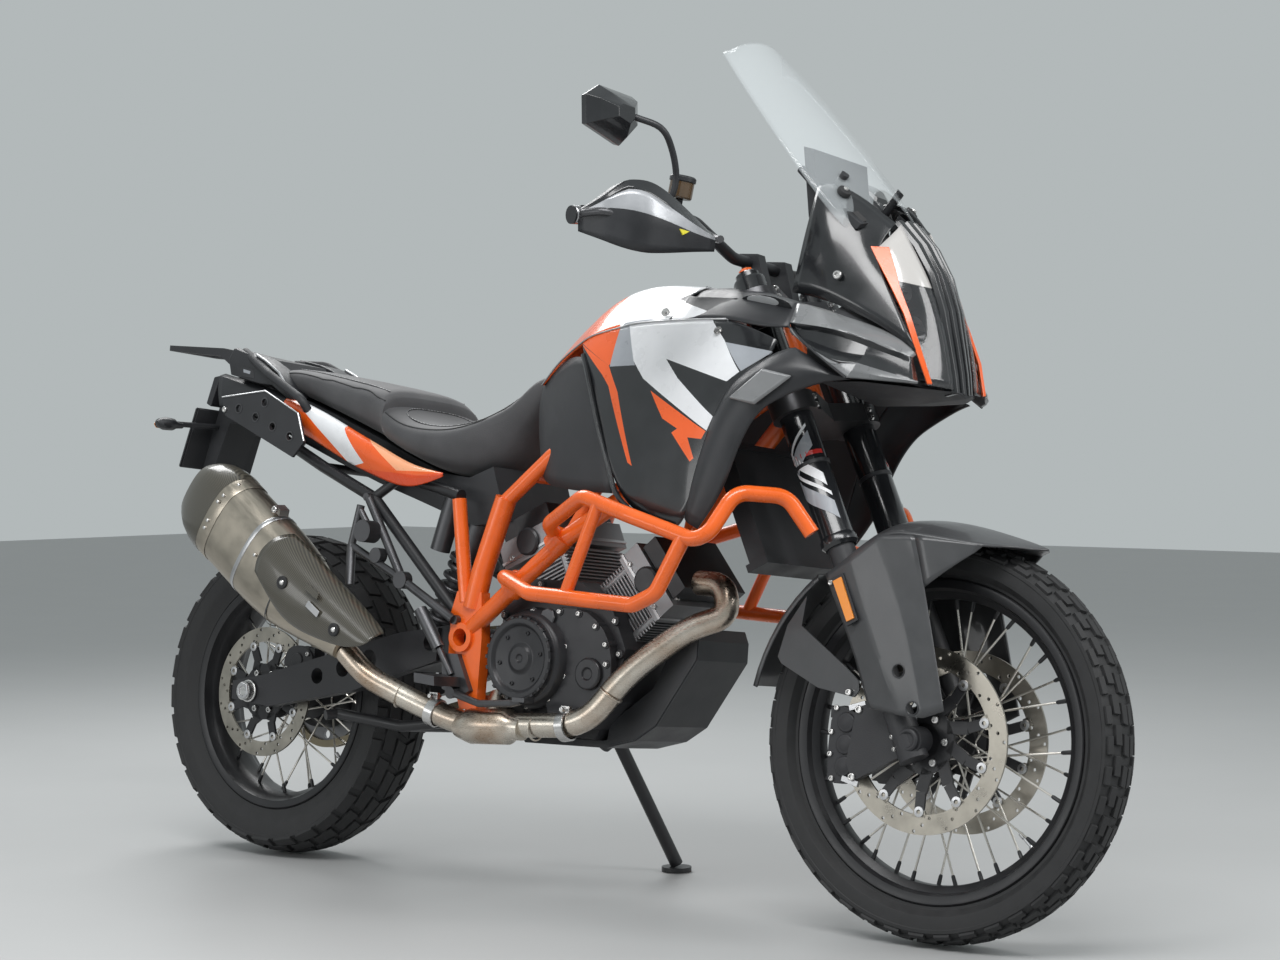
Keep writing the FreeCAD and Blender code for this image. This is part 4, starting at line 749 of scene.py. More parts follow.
def wheels():
    tyre("front_tyre_tread", FRONT_AXLE, FRONT_RADIUS, 95, FRONT_SEAT, FRONT_HALF, 81.8, 6.0, 42,
         FRONT_ROWS, "front_wheel", "front_tyre")
    tyre("rear_tyre_tread", REAR_AXLE, REAR_RADIUS, 150, REAR_SEAT, REAR_HALF, 129.2, 6.0, 30,
         REAR_ROWS, "rear_wheel", "rear_tyre")
    rim("front_rim", FRONT_AXLE, FRONT_SEAT, FRONT_HALF, "front_wheel")
    rim("rear_rim", REAR_AXLE, REAR_SEAT, REAR_HALF, "rear_wheel")
    spokes("front_spokes", FRONT_AXLE, 36, 34, 38, 248, 8, 62, "front_wheel")
    spokes("rear_spokes", REAR_AXLE, 32, 48, 50, 210, 16, 62, "rear_wheel")
    hub("front_hub", [(13, -69), (46, -69), (46, -64), (28, -56), (26, -44), (40, -42),
                      (40, -34), (25, -31), (25, 31), (40, 34), (40, 42), (26, 44), (28, 56),
                      (46, 64), (46, 69), (13, 69)], FRONT_AXLE, "front_wheel")
    hub("rear_hub", [(13, -95), (48, -95), (48, -89), (34, -78), (32, -62), (53, -60),
                     (53, -52), (35, -46), (35, 40), (53, 44), (53, 52), (70, 57), (72, 94),
                     (13, 94)], REAR_AXLE, "rear_wheel")
    discs = Shape()
    for side in (-1, 1):
        brake_disc(discs, FRONT_AXLE, side * 72, side, 160, 34, 10)
    place("front_disc_rings", discs, "front_wheel", "front_discs", sharp=30)
    disc = Shape()
    brake_disc(disc, REAR_AXLE, -98, -1, 133.5, 30, 8)
    place("rear_disc_ring", disc, "rear_wheel", "rear_disc", sharp=30)


# Bodywork

def refined(shape, levels, crease=40.0, amount=0.8):
    """The shape after Catmull-Clark rounding that keeps its sharper edges."""
    mesh = bpy.data.meshes.new("refine")
    mesh.from_pydata(shape.verts, [], shape.faces)
    keys = list(dict.fromkeys(shape.keys))
    mesh.polygons.foreach_set("material_index", [keys.index(key) for key in shape.keys])
    work = bmesh.new()
    work.from_mesh(mesh)
    bmesh.ops.remove_doubles(work, verts=work.verts[:], dist=0.02)
    layer = work.edges.layers.float.new("crease_edge")
    for edge in work.edges:
        if len(edge.link_faces) == 2:
            if math.degrees(edge.calc_face_angle(0)) > crease:
                edge[layer] = amount
        else:
            edge[layer] = 1.0
    work.to_mesh(mesh)
    work.free()
    obj = bpy.data.objects.new("refine", mesh)
    bpy.context.scene.collection.objects.link(obj)
    fine = obj.modifiers.new("fine", "SUBSURF")
    fine.levels = levels
    fine.boundary_smooth = "PRESERVE_CORNERS"
    result = obj.evaluated_get(bpy.context.evaluated_depsgraph_get()).to_mesh()
    smooth = Shape()
    smooth.verts = [v.co.copy() for v in result.vertices]
    smooth.faces = [tuple(p.vertices) for p in result.polygons]
    smooth.keys = [keys[p.material_index] for p in result.polygons]
    bpy.data.objects.remove(obj)
    bpy.data.meshes.remove(mesh)
    return smooth


def skin(columns, key):
    """Open surface from columns of (x, y, z), rear to front, each from the top down."""
    shape = Shape()
    shape.loft(columns, key, caps=False, around=False)
    return shape


def line_tube(points, radius, key, body="root", name="trim", sides=8):
    """Tube through points, with its twin on the other side."""
    shape = Shape()
    shape.tube(points, radius, key, sides)
    place(name, shape.both_sides(), body)


def spline(points, count):
    """Catmull-Rom points through the given ones."""
    points = [V(p) for p in points]
    padded = [points[0] * 2 - points[1]] + points + [points[-1] * 2 - points[-2]]
    result = []
    for a, b, c, d in zip(padded, padded[1:], padded[2:], padded[3:]):
        for step in range(count):
            t = step / count
            result.append(0.5 * (2 * b + (c - a) * t + (2 * a - 5 * b + 4 * c - d) * t * t
                                 + (3 * b - a - 3 * c + d) * t ** 3))
    return result + [points[-1]]


CREST = [(700, -98, 966), (760, -124, 1004), (830, -150, 1035), (869, -160, 1049),
         (939, -172, 1060), (986, -180, 1066), (1063, -190, 1067), (1144, -200, 1066),
         (1211, -210, 1063)]


def tank():
    """Tank top: orange at the seat, white with a grey flash, black towards the bars."""
    columns = [
        [(688, 0, 984), (688, -46, 984), (688, -80, 978), (700, -98, 966)],
        [(763, 0, 1056), (763, -60, 1055), (763, -95, 1046), (760, -124, 1004)],
        [(820, 0, 1104), (820, -64, 1103), (822, -99, 1092), (830, -150, 1035)],
        [(866, 0, 1134), (866, -66, 1134), (868, -101, 1126), (869, -160, 1049)],
        [(928, 0, 1154), (928, -62, 1155), (928, -98, 1147), (939, -172, 1060)],
        [(991, 0, 1155), (991, -60, 1156), (991, -94, 1148), (986, -180, 1066)],
        [(1062, 0, 1148), (1062, -62, 1149), (1062, -98, 1139), (1063, -190, 1067)]]
    front = [[(1062, -62, 1149), (1062, -98, 1139), (1063, -190, 1067)],
             [(1076, -166, 1114), (1076, -172, 1102), (1080, -194, 1067)],
             [(1129, -168, 1112), (1129, -174, 1100), (1144, -200, 1066)],
             [(1206, -174, 1106), (1212, -180, 1100), (1214, -210, 1063)]]
    regions = [
        ([(640, 900), (640, 1200), (893, 1200), (894, 1121), (942, 1060), (880, 1000)],
         "orange_panel"),
        ([(895, 1121), (1036, 1069), (1000, 1040), (943, 1060)], "grey_panel"),
        ([(1064, 1160), (1064, 1137), (1039, 1117), (1212, 1064), (1260, 1060), (1260, 1180)],
         "satin_black")]
    rear = refined(skin(columns, "white_panel"), 3, 50)
    side = refined(skin(front, "white_panel"), 3, 50)
    top = rear.join(side).both_sides().painted(regions)
    place("tank_top", top, replaces="fuel_tank", thick=4, sharp=38)
    line_tube(spline(CREST, 6), 1.7, "alu", name="crest_line")


def pods():
    columns = [
        [(838, -152, 1036), (842, -156, 1031), (847, -160, 1024), (852, -163, 1014)],
        [(869, -160, 1049), (872, -168, 1028), (878, -176, 1005), (885, -184, 966)],
        [(939, -172, 1060), (939, -190, 1010), (940, -203, 940), (942, -209, 858)],
        [(1000, -182, 1066), (1000, -205, 985), (1000, -222, 880), (1000, -227, 755)],
        [(1063, -190, 1067), (1063, -216, 985), (1063, -236, 880), (1063, -236, 708)],
        [(1144, -200, 1066), (1144, -227, 985), (1144, -245, 880), (1144, -243, 686)],
        [(1180, -205, 1065), (1180, -232, 985), (1180, -249, 880), (1176, -249, 694)],
        [(1214, -210, 1063), (1218, -236, 985), (1218, -246, 930), (1220, -247, 880)],
        [(1262, -215, 1050), (1262, -230, 1018), (1258, -238, 985), (1254, -241, 948)],
        [(1332, -224, 1022), (1332, -226, 1016), (1330, -229, 1008), (1327, -232, 998)]]
    regions = [
        ([(830, 1040), (941, 1062), (960, 1010), (937, 987)], "orange_panel"),
        ([(839, 1034), (937, 987), (974, 936), (1036, 799), (1024, 805), (946, 948), (923, 970)],
         "orange_panel"),
        ([(943, 1062), (962, 1075), (1002, 993), (1008, 985), (940, 985)], "grey_panel"),
        ([(961, 1075), (1002, 993), (1037, 959), (1210, 861), (1221, 886), (1125, 957),
          (1086, 994), (1243, 948), (1267, 965), (1219, 1024), (1182, 1058), (1170, 1075)],
         "white_panel"),
        ([(1222, 1020), (1332, 1000), (1270, 966)], "grey_panel"),
        ([(1062, 936), (1208, 860), (1200, 846), (1168, 849), (1186, 812), (1178, 806),
          (1128, 858), (1141, 865), (1102, 884)], "orange_panel")]
    shape = refined(skin(columns, "gloss_black"), 3, 60).both_sides().painted(regions)
    place("side_pods", shape, replaces="tank_panels", thick=4, sharp=38,
          lined=True)
    edge = [(852, -164, 1012), (885, -186, 966), (908, -197, 923), (942, -211, 858),
            (975, -220, 795), (1000, -228, 752), (1039, -236, 722), (1090, -243, 702),
            (1150, -247, 688)]
    line_tube(spline(edge, 5), 5.0, "gloss_black", name="pod_edge")
    marks = Shape()
    for x, y, z in ((1047, -176, 1086), (1200, -218, 1042)):
        marks.lathe([(0, 3), (5, 3), (5, 0.5), (8, 0.5), (8, -4)], (x, y, z), (0.15, -1, 0.5),
                    "steel", 16)
    place("pod_screws", marks.both_sides())


def knees():
    """Matt panels that the rider's knees hold."""
    columns = [
        [(690, -84, 968), (690, -92, 930), (700, -100, 880), (712, -106, 838)],
        [(740, -112, 990), (744, -128, 930), (752, -146, 850), (764, -156, 774)],
        [(800, -138, 1014), (804, -156, 940), (812, -178, 850), (824, -188, 762)],
        [(850, -162, 1010), (868, -178, 950), (885, -199, 850), (900, -207, 753)],
        [(862, -170, 996), (908, -195, 923), (950, -212, 838), (985, -222, 750)]]
    shape = refined(skin(columns, "matte_black"), 2, 60)
    place("knee_panels", shape.both_sides(), replaces="knee_covers",
          thick=4, sharp=40)


def spears():
    """Blades that sweep down behind the fork, each with a raised vent plate."""
    columns = [
        [(1176, -250, 706), (1184, -256, 700), (1194, -256, 694), (1206, -250, 688)],
        [(1190, -250, 792), (1210, -262, 780), (1232, -262, 768), (1258, -252, 752)],
        [(1222, -248, 884), (1240, -264, 868), (1262, -264, 850), (1284, -252, 836)],
        [(1237, -245, 916), (1262, -264, 906), (1292, -264, 892), (1318, -254, 888)],
        [(1255, -241, 951), (1290, -262, 948), (1322, -262, 932), (1346, -250, 910)],
        [(1328, -232, 998), (1352, -254, 980), (1382, -252, 956), (1400, -236, 934)],
        [(1374, -228, 1008), (1400, -240, 986), (1428, -236, 962), (1440, -220, 948)],
        [(1456, -205, 960), (1462, -207, 958), (1468, -206, 956), (1474, -200, 953)]]
    shape = refined(skin(columns, "satin_black"), 2, 40)
    place("side_blades", shape.both_sides(), replaces="side_spears",
          thick=4, sharp=36)
    # Vent plates in light grey: a painted highlight on black plastic.
    plate = Shape()
    plate.loft([[(1262, -260, 916), (1334, -264, 968), (1392, -250, 955), (1324, -266, 902)],
                [(1268, -266, 916), (1336, -269, 963), (1384, -257, 953), (1322, -271, 907)]],
               "sheen_black")
    place("vent_plates", plate.both_sides(), bevel=3)


def wings():
    """Black wings from the tank to the nose: a ridge, a hollow flank and a lower lip; the ridge and
    lip are light grey, a painted highlight.
    """
    rear = [
        [(1066, -60, 1143), (1066, -97, 1138), (1066, -150, 1098), (1066, -190, 1069)],
        [(1129, -92, 1140), (1129, -128, 1136), (1129, -168, 1104), (1134, -199, 1068)],
        [(1218, -126, 1128), (1218, -160, 1122), (1218, -194, 1094), (1216, -211, 1066)],
        [(1300, -140, 1106), (1305, -172, 1102), (1306, -204, 1074), (1290, -217, 1046)],
        [(1340, -150, 1094), (1342, -182, 1091), (1346, -208, 1054), (1346, -210, 1046)]]
    shape = refined(skin(rear, "satin_black"), 2, 40, 0.7)
    ridge = [
        [(1340, -150, 1094), (1342, -182, 1091), (1346, -207, 1054)],
        [(1366, -146, 1088), (1372, -178, 1084), (1398, -210, 1047)],
        [(1419, -138, 1073), (1424, -168, 1068), (1451, -207, 1038)],
        [(1476, -122, 1053), (1482, -148, 1048), (1496, -184, 1022)],
        [(1520, -104, 1034), (1525, -120, 1029), (1526, -144, 1008)],
        [(1540, -92, 1010), (1544, -108, 1006), (1542, -113, 1001)]]
    # Ridge in light grey: painted highlight on black plastic.
    shape.join(refined(skin(ridge, "sheen_black"), 2, 25, 1.0))
    flank = [
        [(1346, -207, 1054), (1348, -204, 1044), (1350, -206, 1036), (1360, -215, 1034)],
        [(1398, -210, 1047), (1398, -204, 1038), (1400, -208, 1018), (1408, -224, 1003)],
        [(1451, -207, 1038), (1450, -200, 1028), (1452, -204, 1000), (1462, -228, 977)],
        [(1496, -184, 1022), (1492, -182, 1012), (1492, -190, 996), (1494, -214, 980)],
        [(1526, -144, 1008), (1522, -146, 1000), (1522, -156, 986), (1524, -180, 970)],
        [(1542, -113, 1001), (1544, -112, 990), (1550, -114, 976), (1556, -117, 960)]]
    shape.join(refined(skin(flank, "gloss_black"), 2, 25, 1.0))
    lip = [
        [(1360, -215, 1034), (1352, -214, 1040), (1345, -209, 1046)],
        [(1408, -224, 1003), (1399, -225, 1009), (1392, -224, 1014)],
        [(1462, -228, 977), (1452, -230, 978), (1440, -230, 983)],
        [(1494, -214, 980), (1490, -222, 966), (1483, -227, 953)],
        [(1524, -180, 970), (1522, -184, 960), (1516, -186, 953)],
        [(1556, -117, 960), (1557, -117, 958), (1555, -115, 955)]]
    # Lip in light grey: painted highlight on black plastic.
    shape.join(refined(skin(lip, "sheen_black"), 2, 20, 1.0))
    place("wing_panels", shape.both_sides(), replaces="shrouds", thick=3,
          sharp=24)
    core = Shape()
    core.loft([
        [(1378, -196, 1040), (1378, -196, 960), (1412, -60, 966), (1412, -60, 1110),
         (1404, -130, 1094)],
        [(1470, -190, 1010), (1470, -196, 958), (1470, -20, 952), (1470, -20, 1150),
         (1470, -96, 1070)],
        [(1530, -110, 986), (1530, -120, 958), (1530, -10, 953), (1530, -10, 1040),
         (1530, -80, 1000)]], "matte_black")
    place("nose_core", core.both_sides())
    seam = [(1346, -210, 1047), (1392, -225, 1014), (1438, -231, 983), (1482, -229, 953)]
    line_tube(spline(seam, 4), 2.2, "satin_black", name="wing_seam")
    indicator("indicator_pods", ((1.0, -4), (1.0, 3), (0.86, 6)), 60, 15, 0, "gloss_black", 1)
    indicator("indicator_lenses", ((1.0, 4), (0.95, 8), (0.7, 11), (0.3, 12.5)), 40, 10, -6,
              "clear_lens", 0)


def indicator(name, sizes, long, high, shift, key, bevel):
    """Oval dome on each wing from (size, reach outwards) rings."""
    shape = Shape()
    rings = []
    for size, out in sizes:
        ring = []
        for t in turns(24):
            along, up = long * math.cos(t) * size + shift, high * math.sin(t) * size
            ring.append(V((1277 + along, -183 - 0.17 * along - out * 0.75 - up * 0.62,
                           1092 - 0.13 * along + out * 0.66 + up * 0.78)))
        rings.append(ring)
    shape.loft(rings, key)
    place(name, shape.both_sides(), bevel=bevel)


def nose():
    """Gloss cheeks between the wings, the screen and the lamp."""
    columns = [
        [(1322, -108, 1318), (1330, -128, 1298), (1318, -142, 1210), (1300, -140, 1118)],
        [(1362, -104, 1316), (1362, -138, 1268), (1362, -152, 1200), (1362, -146, 1106)],
        [(1410, -84, 1288), (1412, -118, 1240), (1420, -138, 1170), (1424, -146, 1084)],
        [(1446, -62, 1254), (1436, -104, 1200), (1462, -122, 1140), (1482, -128, 1058)],
        [(1456, -58, 1249), (1440, -108, 1188), (1482, -110, 1126), (1544, -108, 1014)]]
    shape = refined(skin(columns, "gloss_black"), 2, 40, 0.8)
    place("nose_cheeks", shape.both_sides(), replaces="nose_mask", thick=4,
          sharp=34)
    chin = Shape()
    chin.loft([[V((1400, y, z)) for y, z in ((-190, 952), (0, 940), (190, 952), (0, 930))],
               [V((1480, y, z)) for y, z in ((-172, 953), (0, 942), (172, 953), (0, 932))],
               [V((1584, y, z)) for y, z in ((-30, 950), (0, 951), (30, 950), (0, 942))]],
              "matte_black")
    place("nose_chin", chin, bevel=2)
    screws = Shape()
    screws.bolt((1402, -150, 1143), (0.2, -1, 0.1), 8, "steel")
    screws.lathe([(0, 0), (7, 0), (9, -3)], (1480, -170, 1000), (0.3, -1, 0), "cast_black", 16)
    place("nose_screws", screws.both_sides())


def headlight():
    """Smoked lens either side of a ribbed spine, with an orange light blade at its edge; the lens's
    upper part is pale glass, a painted reflection.
    """
    rows = [
        ((1444, -104, 1192), (1460, -78, 1222), (1462, -50, 1246)),
        ((1482, -104, 1128), (1514, -70, 1150), (1524, -44, 1148)),
        ((1512, -103, 1078), (1543, -66, 1082), (1552, -42, 1078)),
        ((1540, -104, 1014), (1562, -66, 1014), (1570, -40, 1014)),
        ((1560, -92, 957), (1572, -60, 955), (1580, -36, 954))]
    lens = refined(skin(rows, "lamp_lens"), 2, 60)
    lens.faces = [f[::-1] for f in lens.faces]
    # Upper part of the lens in pale glass: painted reflection of the overhead light.
    lens.painted([([(1380, 1300), (1600, 1300), (1600, 1128), (1524, 1132), (1483, 1140),
                    (1380, 1166)], "lamp_pale")])
    place("lamp_lenses", lens.both_sides(), replaces="headlight", thick=3)

    blade = Shape()
    rings = []
    for x, y, z, wide in ((1436, -106, 1200, 34), (1462, -107, 1160, 26),
                          (1483, -107, 1128, 17), (1513, -106, 1078, 12),
                          (1541, -107, 1016, 11), (1562, -95, 957, 9)):
        out = V((0.55, -0.6, 0.2)).normalized()
        across = V((0.75, 0.62, 0))
        p = V((x, y, z))
        rings.append([p + out * 1.5, p + out * 2.5 + across * wide, p - out * 3 + across * wide,
                      p - out * 3])
    blade.loft(rings, "orange_panel")
    place("lamp_blades", blade.both_sides(), bevel=1)

    spine = Shape()
    path = [(1452, 1258), (1494, 1214), (1528, 1160), (1552, 1096), (1568, 1030), (1578, 985),
            (1584, 948)]
    profile = [(-46, -8), (-40, 0), (-30, 2), (-27, -3), (-20, -3), (-17, 4), (-6, 6), (-3, 0),
               (3, 0), (6, 6), (17, 4), (20, -3), (27, -3), (30, 2), (40, 0), (46, -8),
               (40, -26), (-40, -26)]
    rings = []
    for index, (x, z) in enumerate(path):
        before = V((*path[max(index - 1, 0)], 0))
        after = V((*path[min(index + 1, len(path) - 1)], 0))
        along = (after - before).normalized()
        out = V((-along.y, 0, along.x))
        share = 1.0 - 0.35 * index / (len(path) - 1)
        rings.append([V((x, 0, z)) + V((0, y * share, 0)) + out * (h - 2) for y, h in profile])
    spine.loft(rings, "gloss_black")
    place("lamp_spine", spine, bevel=1.2, sharp=25)

    inside_lamp = Shape()
    for index in range(16):
        z = 1180 - index * 14.0
        front = 1460 + 90 * math.sin(min(1.0, index / 15) * math.pi / 2)
        inside_lamp.loft([[V((front - 42, -96, z)), V((front - 6, -54, z)),
                           V((front - 14, -54, z - 4)), V((front - 46, -94, z - 4))],
                          [V((front - 42, -96, z - 3)), V((front - 6, -54, z - 3)),
                           V((front - 14, -54, z - 6)), V((front - 46, -94, z - 6))]],
                         "dark_alu")
    for x, z, radius in ((1478, 1122, 24), (1508, 1052, 26)):
        inside_lamp.lathe([(radius, 10), (radius * 0.8, 4), (radius * 0.3, -8), (0, -10)],
                          (x, -74, z), (0.9, -0.3, 0.1), "alu", 24)
    inside_lamp.loft([[(1400, -100, 1230), (1430, -40, 1236), (1540, -36, 960),
                       (1520, -96, 960)],
                      [(1390, -98, 1228), (1420, -40, 1230), (1524, -36, 960),
                       (1506, -90, 960)]], "cast_black")
    place("lamp_inside", inside_lamp.both_sides())


def screen():
    """Tall clear screen with two low ears and an arched lower edge between them."""
    rows = [(0.0, 1112, 1610, 96), (0.07, 1122, 1600, 116), (0.2, 1163, 1560, 134),
            (0.4, 1238, 1484, 150), (0.6, 1308, 1412, 160), (0.8, 1374, 1340, 158),
            (0.92, 1412, 1296, 146), (1.0, 1436, 1268, 126)]
    shape = Shape()
    steps = 12
    rings = []
    for share, x, z, half in rows:
        ring = []
        for index in range(steps + 1):
            t = -1 + 2 * index / steps
            pull = 0.0 if share < 0.8 else (share - 0.8) / 0.2
            lift = 72 * pull * max(0.0, 1 - (abs(t) / 0.62) ** 2.2)
            sag = (38 + 22 * share) * t * t
            top_round = 14 * (1 - pull) * (t ** 4) * (1 if share < 0.05 else 0)
            ring.append(V((x - sag * 0.7 - lift * 0.68 - top_round * 0.2,
                           half * t, z - sag * 0.62 + lift * 0.72 - top_round)))
        rings.append(ring)
    shape.loft(rings, "screen", caps=False, around=False)
    shape = refined(shape, 1, 80)
    place("wind_screen", shape, replaces="windscreen", thick=3.5, sharp=60)
    parts = Shape()
    point, axis = (1380, -112, 1300), (0.68, -0.2, 0.68)
    parts.lathe([(0, 5), (6, 5), (7, 3.5), (12, 3), (13, 0), (13, -6), (0, -6)], point, axis,
                "rubber", 20)
    parts.lathe([(0, 8), (4.5, 8), (5, 5)], point, axis, "steel", 12)
    parts.loft([[(1338, -120, 1284), (1350, -104, 1284), (1420, -104, 1234),
                 (1414, -120, 1228)],
                [(1346, -120, 1296), (1358, -104, 1296), (1430, -104, 1242),
                 (1424, -120, 1238)]], "satin_black")
    parts.loft([[(1396, -114, 1256), (1404, -108, 1258), (1424, -108, 1240),
                 (1418, -114, 1236)],
                [(1400, -114, 1262), (1408, -108, 1264), (1429, -108, 1246),
                 (1422, -114, 1242)]], "rubber")
    place("screen_brackets", parts.both_sides(), bevel=1)


# Seats and tail

SEAT_FRONT = [
    (672, 994, 40, 958), (640, 984, 62, 880), (600, 940, 92, 806), (540, 903, 134, 784),
    (470, 890, 152, 792), (390, 898, 158, 822), (330, 930, 150, 846)]
SEAT_REAR = [
    (328, 950, 146, 847), (300, 968, 140, 858), (180, 990, 128, 902), (60, 1008, 112, 942),
    (-10, 1012, 96, 960), (-34, 1004, 84, 968)]


def seat_rows(rows, count):
    """Stations (x, top, half width, low) smoothed between the given ones."""
    tops = spline([(x, top, half) for x, top, half, _ in rows], count)
    lows = spline([(x, low, 0) for x, _, _, low in rows], count)
    return [(a.x, a.y, a.z, b.y) for a, b in zip(tops, lows)]


def cushion(rows):
    """Padded body with a crowned top, soft shoulders and tucked ends."""
    shape = Shape()
    rings = []
    for x, top, half, low in rows:
        ring = []
        for t in turns(36):
            s, c = math.sin(t), math.cos(t)
            wide = half * (1.0 if c > 0 else 1 - 0.10 * -c)
            ring.append(V((x, wide * math.copysign(abs(s) ** 0.6, s),
                           (top + low) / 2 + (top - low) / 2 * math.copysign(abs(c) ** 0.6, c))))
        rings.append(ring)
    for size, step in ((0.95, 2), (0.82, 2)):
        for end, reach in ((0, step), (-1, -step)):
            centre = sum(rings[end], V((0, 0, 0))) / 36
            ring = [centre + (p - centre) * size + V((reach, 0, 0)) for p in rings[end]]
            rings = [ring] + rings if end == 0 else rings + [ring]
    shape.loft(rings, "seat")
    return shape


def seat_top(rows, x, y):
    """Point on a cushion's upper side."""
    for first, second in zip(rows, rows[1:]):
        if second[0] <= x <= first[0]:
            t = (first[0] - x) / (first[0] - second[0])
            top, half, low = (a + (b - a) * t for a, b in zip(first[1:], second[1:]))
            break
    else:
        top, half, low = rows[0][1:] if x > rows[0][0] else rows[-1][1:]
    share = min(0.97, abs(y) / half)
    return V((x, y, (top + low) / 2 + (top - low) / 2 * (1 - share ** 3.33) ** 0.3))


def stitched(shape, path, pitch=9.0, length=5.5):
    """Thread dashes over a sunk seam along a path on the cover."""
    shape.tube(path, 1.5, "seam", 6)
    done = 0.0
    for first, second in zip(path, path[1:]):
        span = (second - first).length
        along = (second - first).normalized()
        while done < span:
            start = first + along * done
            stop = first + along * min(span, done + length)
            shape.tube([start + V((0, 0, 1.3)), stop + V((0, 0, 1.3))], 0.85, "stitch", 5)
            done += pitch
        done -= span


def seats():
    front = seat_rows(SEAT_FRONT, 4)
    rear = seat_rows(SEAT_REAR, 4)
    for name, rows, node in (("rider_cushion", front, "rider_seat"),
                             ("passenger_cushion", rear, "passenger_seat")):
        piece = place(name, cushion(rows), replaces=node, sharp=50)
    seams = Shape()
    loop = [seat_top(front, x, -y) for x, y in (
        (632, 34), (610, 60), (580, 84), (540, 102), (480, 112), (420, 114), (372, 110), (350, 98))]
    loop += [seat_top(front, x, y) for x, y in ((338, -60), (336, 0), (338, 60))]
    loop += [V((p.x, -p.y, p.z)) for p in loop[7::-1]]
    stitched(seams, spline(loop, 4))
    loop = [seat_top(rear, x, -y) for x, y in (
        (312, 112), (260, 108), (180, 100), (100, 90), (30, 78), (4, 62))]
    loop += [seat_top(rear, -4, y) for y in (-30, 0, 30)]
    loop += [V((p.x, -p.y, p.z)) for p in loop[5::-1]]
    stitched(seams, spline(loop, 4))
    for rows, ends in ((front, (596, 334)), (rear, (324, -20))):
        edge = []
        for step in range(15):
            x = ends[0] + (ends[1] - ends[0]) * step / 14
            half = [b for a, b in zip([r[0] for r in rows], [r[2] for r in rows]) if a <= x + 25][0]
            edge.append(seat_top(rows, x, -half * 0.93))
        pipe = Shape()
        pipe.tube(spline(edge, 3), 1.6, "seam", 6)
        seams.join(pipe.both_sides())
    place("seat_seams", seams)


TAIL_WHITE = [(51, 965), (237, 905), (237, 897), (232, 878), (300, 806), (257, 800), (193, 852),
              (139, 893), (92, 926), (60, 950)]
TAIL_PEACH = [(281, 868), (503, 789), (399, 791)]
TAIL_DEEP = [(245, 803), (261, 799), (347, 790), (458, 782), (530, 789), (540, 760), (425, 735),
             (240, 790)]


